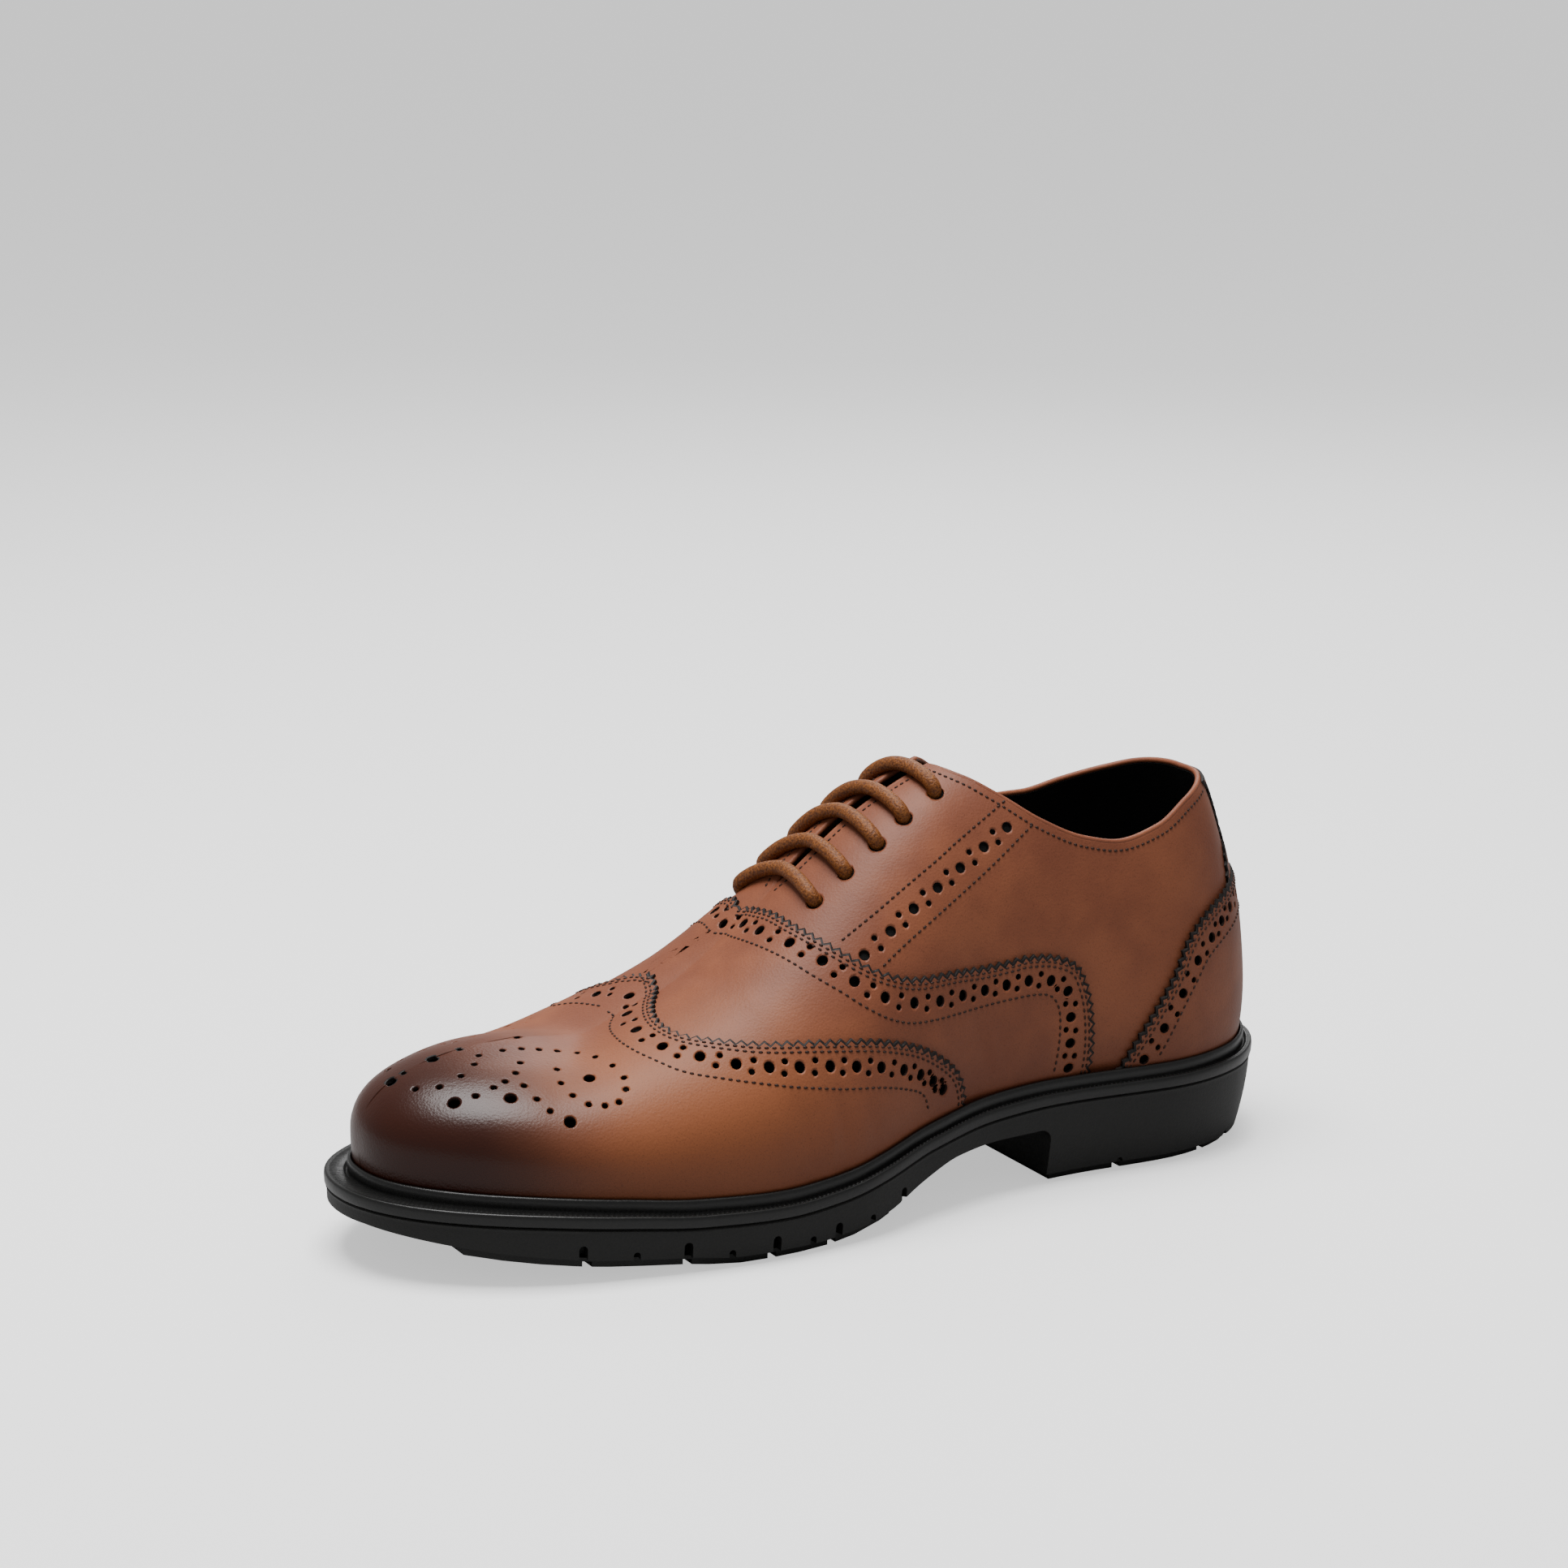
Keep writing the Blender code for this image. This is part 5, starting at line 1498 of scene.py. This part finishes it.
# %% [markdown]
# ## The lace
#
# One waxed round cord laces the shoe straight across. It comes up through one eyelet, crosses the
# throat and goes down through the other; between bars it climbs behind the facings. Both ends stop
# out of sight behind the top eyelets.

# %% Lace
LACE_RADIUS = 0.0022
HOLE_SLACK = 0.007        # in w, how far the cord is drawn from an eyelet's middle
LACE_ORDER = [("r", 4), ("l", 4), ("l", 2), ("r", 2), ("r", 0), ("l", 0), ("l", 1), ("r", 1),
              ("r", 3), ("l", 3)]


def eyelet_spot(side, k):
    """Middle of an eyelet; the cord is drawn toward the throat and fills that side of the hole."""
    s, w = eyelet_spots[k]
    w = w + HOLE_SLACK
    return np.array([s, w]) if side == "l" else np.array([s + FAR_LEAD[k], 2 - w])


def bar(k, start):
    """Path over the throat from one eyelet to the other."""
    a, b = eyelet_spot(start, k), eyelet_spot("l" if start == "r" else "r", k)
    t = np.linspace(0, 1, 33)
    spots = a + (b - a) * t[:, None]
    lift = 0.0019 + 0.0003 * np.sin(np.pi * t) ** 0.8
    return surface(spots[:, 0], spots[:, 1], 0.0) + lift[:, None] * facing_out(*spots.T)


def drop(side, k):
    """The cord's way down through an eyelet."""
    spot = eyelet_spot(side, k)[None]
    normal = facing_out(*spot.T)[0]
    at = surface(*spot.T)[0]
    return np.array([at + normal * d for d in (0.0003, -0.0012, -0.0028)])


def behind(a, b):
    """The cord's way behind the facing from one eyelet to another."""
    t = np.linspace(0, 1, 9)[1:-1]
    spots = a + (b - a) * t[:, None]
    lift = -0.0034 - 0.0006 * np.sin(np.pi * t)
    return surface(spots[:, 0], spots[:, 1], lift)


path = []
for number in range(0, len(LACE_ORDER), 2):
    (start, k), (end, _) = LACE_ORDER[number], LACE_ORDER[number + 1]
    path += [*drop(start, k)[::-1], *bar(k, start), *drop(end, k)]
    if number + 2 < len(LACE_ORDER):
        nxt = LACE_ORDER[number + 2]
        path += [*behind(eyelet_spot(end, k), eyelet_spot(*nxt))]


def rounded(points, spacing=0.0009, passes=3):
    """Even points along a path, with its corners eased."""
    points = np.array(points)
    for _ in range(2):
        length = np.concatenate([[0], np.cumsum(np.linalg.norm(np.diff(points, axis=0), axis=1))])
        d = np.arange(0, length[-1], spacing)
        points = np.stack([np.interp(d, length, points[:, k]) for k in range(3)], -1)
        for _ in range(passes):
            points[1:-1] = 0.25 * points[:-2] + 0.5 * points[1:-1] + 0.25 * points[2:]
    return points


lace_path = rounded(path)
lace = swept("lace", tube_rows(lace_path, LACE_RADIUS, 14), cord_brown, (False, True), caps=True)
print("lace is", round(float(np.linalg.norm(np.diff(lace_path, axis=0), axis=1).sum()), 2), "m long")

# %% [markdown]
# ## Welt and sole
#
# A moulded rubber unit carries the shoe. Its welt is a storm rim that hugs the leather, a groove, and
# a ledge whose edge was run over by a hot wheel, which leaves fine ribs. The ribs are part of the
# section that is carried round the outline.

# %% Storm welt
WHEEL_PITCH = 0.00145
STATIONS = 1800


def over_ledge(s):
    return WELT_WIDTH * float(smooth(OVERHANG, s))


def skin_out(s, side, rise):
    foot = plan_point(s, side)
    normal = plan_point(s, side, 1.0) - foot
    level = float(ledge_height(foot[0])) + GAP + rise
    h = solve(lambda share: bare(s, side, share)[2] - level, 0.0, 0.4)
    return float((bare(s, side, h)[:2] - foot) @ normal)


coarse = np.linspace(0, 1, 121)
foot_out = [[skin_out(float(s), side, 0.0) for s in coarse] for side in (0, 1)]
rim_out = [[skin_out(float(s), side, RIM_HEIGHT) for s in coarse] for side in (0, 1)]


def welt_section(s, side, wheel):
    """Places outside the feather line and over the ledge, from the inside out."""
    over = over_ledge(s)
    foot = np.interp(s, coarse, foot_out[side]) + GAP
    top = np.interp(s, coarse, rim_out[side]) + GAP
    layers = 1 + float(np.clip((s - 0.36) / 0.08, 0, 1))
    rim = top + FIT + layers * LEATHER + RIM_THICK
    inner = rim - RIM_THICK - 0.0001
    trough = rim + GROOVE_WIDTH
    width = max(over - 0.0007 - trough, 0.0006)
    rib_up = 0.00028 * wheel
    return [
        (-SHELF, -WELT_THICK), (-SHELF, 0.0), (foot, 0.0), (inner, 0.6 * RIM_HEIGHT),
        (inner + 0.0001, RIM_HEIGHT - 0.0003), (inner + 0.00035, RIM_HEIGHT),
        (rim - 0.0002, RIM_HEIGHT - 0.00015), (rim + 0.0001, RIM_HEIGHT - 0.0007),
        (rim + 0.0002, 0.55 * RIM_HEIGHT), (rim + 0.0001, 0.0006), (rim, -GROOVE_DEPTH),
        (trough, -GROOVE_DEPTH), (trough + 0.0002, -0.0001),
        (trough + 0.12 * width, rib_up), (trough + 0.5 * width, rib_up),
        (trough + 0.80 * width, rib_up), (trough + 0.9 * width, 0.0),
        (over - 0.0006, 0.00025), (over - 0.0002, 0.0001), (over, -0.0003),
        (over + 0.0001, -0.0012), (over, -WELT_THICK + 0.0004), (over - 0.0003, -WELT_THICK),
    ]


welt_rows = []
run_length, previous = 0.0, None
for s, side in around(STATIONS):
    here = outline_place(s, side, over_ledge(s), 0.0)
    run_length += 0.0 if previous is None else float(np.linalg.norm(here - previous))
    previous = here
    wheel = 0.5 + 0.5 * math.sin(2 * math.pi * run_length / WHEEL_PITCH)
    welt_rows.append([outline_place(s, side, out, rise) for out, rise in welt_section(s, side, wheel)])
welt = swept("storm_welt", welt_rows, welt_rubber, (True, True))
print("welt runs", round(1000 * run_length), "mm round the ledge")

# %% [markdown]
# Below the welt the unit goes on as one moulding. Its side steps in under the welt, draws in toward
# the floor and ends in a heel with a square breast. Its rows are carried round the outline as the
# welt's were. The arch under the waist and the notches in the bottom edge are then cut out of it,
# as the mould would leave them out.

# %% Moulded sole
NICK = 0.0011             # half width of the small nicks under the heel
NICK_HEIGHT = 0.0034
HEEL_NICKS = [(0.060, 0.0), (0.205, 0.0)]  # place along the last; no size, so a nick


def bottom_edge(x):
    """Height of the unit's bottom edge, which rises at the waist and the toe."""
    return TREAD + GAP + ARCH_HEIGHT * float(smooth(ARCH, x / LAST_LENGTH))


def taper(s):
    """How far the side draws in from the step to the floor, most at the heel."""
    return 0.0042 - 0.0030 * min(max((s - 0.25) / 0.25, 0), 1)


sole_rows = []
for s, side in around(720):
    over = over_ledge(s) - 0.0004
    base = outline_place(s, side, over, 0.0)[2]
    low = -WELT_THICK - GAP
    row = [spine_place(s, 0.0), outline_place(s, side, -SHELF - GAP, 0.0),
           outline_place(s, side, -SHELF - GAP, low), outline_place(s, side, over - 0.0003, low),
           outline_place(s, side, over + 0.0001, low - 0.0004)]
    top = base + low - 0.0004
    for share in (0.97, 0.94, 0.85, 0.70, 0.55, 0.40, 0.25, 0.12, 0.04, 0.0):
        at = outline_place(s, side, over - taper(s) * (1 - share) ** 1.7 - 0.0002, 0.0)
        at[2] = top * share
        row.append(at)
    x = crown_point(s)[0]
    row.append(np.array([x, 0.0, 0.0]) + SHIFT)
    sole_rows.append(row)
sole = swept("moulded_sole", sole_rows, rubber, (True, True))


def cut_away(target, build_cutter):
    """Takes a cutter's shape out of a piece for good."""
    bm = build_cutter()
    bmesh.ops.recalc_face_normals(bm, faces=bm.faces[:])
    mesh = bpy.data.meshes.new("cutter")
    bm.to_mesh(mesh)
    bm.free()
    cutter = bpy.data.objects.new("cutter", mesh)
    bpy.context.scene.collection.objects.link(cutter)
    modifier = target.modifiers.new("cut", "BOOLEAN")
    modifier.operation = "DIFFERENCE"
    modifier.object = cutter
    graph = bpy.context.evaluated_depsgraph_get()
    result = bpy.data.meshes.new_from_object(target.evaluated_get(graph))
    target.modifiers.clear()
    target.data = result
    bpy.data.objects.remove(cutter, do_unlink=True)


def prism(bm, profile, start, along, across, up):
    """A straight block: a profile of (sideways, upwards) places carried from start by along."""
    face = bm.faces.new([bm.verts.new(start + across * a + up * b) for a, b in profile])
    grown = bmesh.ops.extrude_face_region(bm, geom=[face])["geom"]
    moved_verts = [item for item in grown if isinstance(item, bmesh.types.BMVert)]
    bmesh.ops.translate(bm, verts=moved_verts, vec=along)


def arch_block():
    """Everything under the sole's bottom edge, with the breast and its round corner."""
    base, roof, corner = TREAD + GAP, bottom_edge(HEEL_LENGTH), 0.0035
    points = [(-0.05, -0.02), (-0.05, base), (HEEL_LENGTH, base), (HEEL_LENGTH, roof - corner)]
    for turn in np.linspace(0, 0.5 * math.pi, 7)[1:]:
        points.append((HEEL_LENGTH + corner * (1 - math.cos(turn)),
                       roof - corner * (1 - math.sin(turn))))
    for x in np.linspace(HEEL_LENGTH + corner + 0.004, 1.03 * LAST_LENGTH, 80):
        points.append((x, bottom_edge(x)))
    points += [(1.1 * LAST_LENGTH, bottom_edge(1.1 * LAST_LENGTH)), (1.1 * LAST_LENGTH, -0.02)]
    bm = bmesh.new()
    prism(bm, points, Vector((SHIFT[0], SHIFT[1] - 0.2, 0)), Vector((0, 0.4, 0)), Vector((1, 0, 0)),
          Vector((0, 0, 1)))
    return bm


def notch_blocks():
    """Slots with round roofs that run in from both sides at the bottom edge."""
    bm = bmesh.new()
    for side in (0, 1):
        for share, size in [*NOTCHES, *HEEL_NICKS]:
            s = solve(lambda t: plan_point(t, side)[0] / LAST_LENGTH - share, 0.02, 0.95)
            edge = plan_point(s, side, over_ledge(s) - taper(s))
            inward = plan_point(s, side, 0.0) - plan_point(s, side, 1.0)
            base = bottom_edge(edge[0]) if edge[0] > HEEL_LENGTH else TREAD + GAP
            half = 0.5 * NOTCH_WIDTH * (0.6 + 0.4 * size) if size else NICK
            height = NOTCH_HEIGHT * size + 0.002 if size else NICK_HEIGHT
            turns = np.linspace(0, math.pi, 7)
            profile = [(-half, 0.0), (half, 0.0)] + [
                (half * math.cos(a), height - half + half * math.sin(a)) for a in turns]
            start = Vector((*(edge + SHIFT[:2] - inward * 0.004), base - 0.002))
            prism(bm, profile, start, Vector((*(inward * (NOTCH_DEPTH + 0.004)), 0)),
                  Vector((-inward[1], inward[0], 0)), Vector((0, 0, 1)))
    return bm


cut_away(sole, arch_block)
cut_away(sole, notch_blocks)
sole.data.shade_smooth()
sole.data.set_sharp_from_angle(angle=math.radians(32))
print("sole has", len(sole.data.polygons), "faces")

# %% Treads keep their solids and get the same rubber
for node in ("heel_tread", "forepart_tread"):
    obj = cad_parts[node]
    obj.data.materials.clear()
    obj.data.materials.append(rubber)

# %% What rides where, and which imported solids are hidden
for obj, slot in ((quarters, "leather"), (vamp, "leather_overlay"), (wing_cap, "leather_overlay"),
                  (counter, "leather_overlay"), (strap, "leather_overlay"), (lining, "lining"),
                  (tongue, "lining"), (sock, "lining"), (topline_roll, "leather"),
                  (threads, "leather_overlay"), (edge_threads, "leather"), (lace, "lace"),
                  (welt, "rubber_sole"), (sole, "rubber_sole")):
    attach(obj, "root")
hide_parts("upper")
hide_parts("vamp_overlay")
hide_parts("wing_cap")
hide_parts("heel_counter")
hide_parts("back_strap")
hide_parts("tongue")
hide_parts("insole")
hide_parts(*[f"lace_bar_{k}" for k in range(1, 6)])
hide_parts("welt")
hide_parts("outsole")

# %% [markdown]
# ## Light and floor
#
# The photograph was taken on light grey paper under a large soft light from above, with a weaker
# one from behind the heel. The paper looks brighter to the camera than the light it gives back, so
# that the leather isn't lit too much from below.

# %% Floor and lights
bm = bmesh.new()
bmesh.ops.create_grid(bm, x_segments=1, y_segments=1, size=60.0)
floor_mesh = bpy.data.meshes.new("paper")
bm.to_mesh(floor_mesh)
bm.free()
floor = bpy.data.objects.new("paper", floor_mesh)
bpy.context.scene.collection.objects.link(floor)
paper = make_plain("grey_paper", (0.55, 0.55, 0.55), (0.545, 0.545, 0.545), 1.0, 60, 0.0, 0.0)
lit = paper.node_tree.nodes["Principled BSDF"]
lit.inputs["Emission Color"].default_value = (1.0, 1.0, 1.0, 1.0)
tree = paper.node_tree
seen = tree.nodes.new("ShaderNodeLightPath").outputs["Is Camera Ray"]
tree.links.new(blend_colour(tree, seen, (0.42, 0.42, 0.42), (0.80, 0.80, 0.80)),
               lit.inputs["Base Color"])
tree.links.new(maths(tree, "MULTIPLY", seen, 0.70), lit.inputs["Emission Strength"])
floor_mesh.materials.append(paper)

world = bpy.data.worlds.new("studio")
world.use_nodes = True
world.node_tree.nodes["Background"].inputs[0].default_value = (1.0, 1.0, 1.0, 1.0)
world.node_tree.nodes["Background"].inputs[1].default_value = 0.36
bpy.context.scene.world = world


def softbox(name, at, target, size, power):
    """A square light that looks at a target."""
    data = bpy.data.lights.new(name, "AREA")
    data.size = size
    data.energy = power
    lamp = bpy.data.objects.new(name, data)
    bpy.context.scene.collection.objects.link(lamp)
    lamp.location = at
    aim = Vector(at) - Vector(target)
    lamp.rotation_euler = aim.to_track_quat("Z", "Y").to_euler()
    return lamp


softbox("overhead", (0.15, -0.05, 1.30), (0.02, 0.0, 0.05), 0.8, 30.0)
softbox("back_light", (-0.7, -0.9, 0.9), (0.0, 0.0, 0.05), 0.7, 6.0)
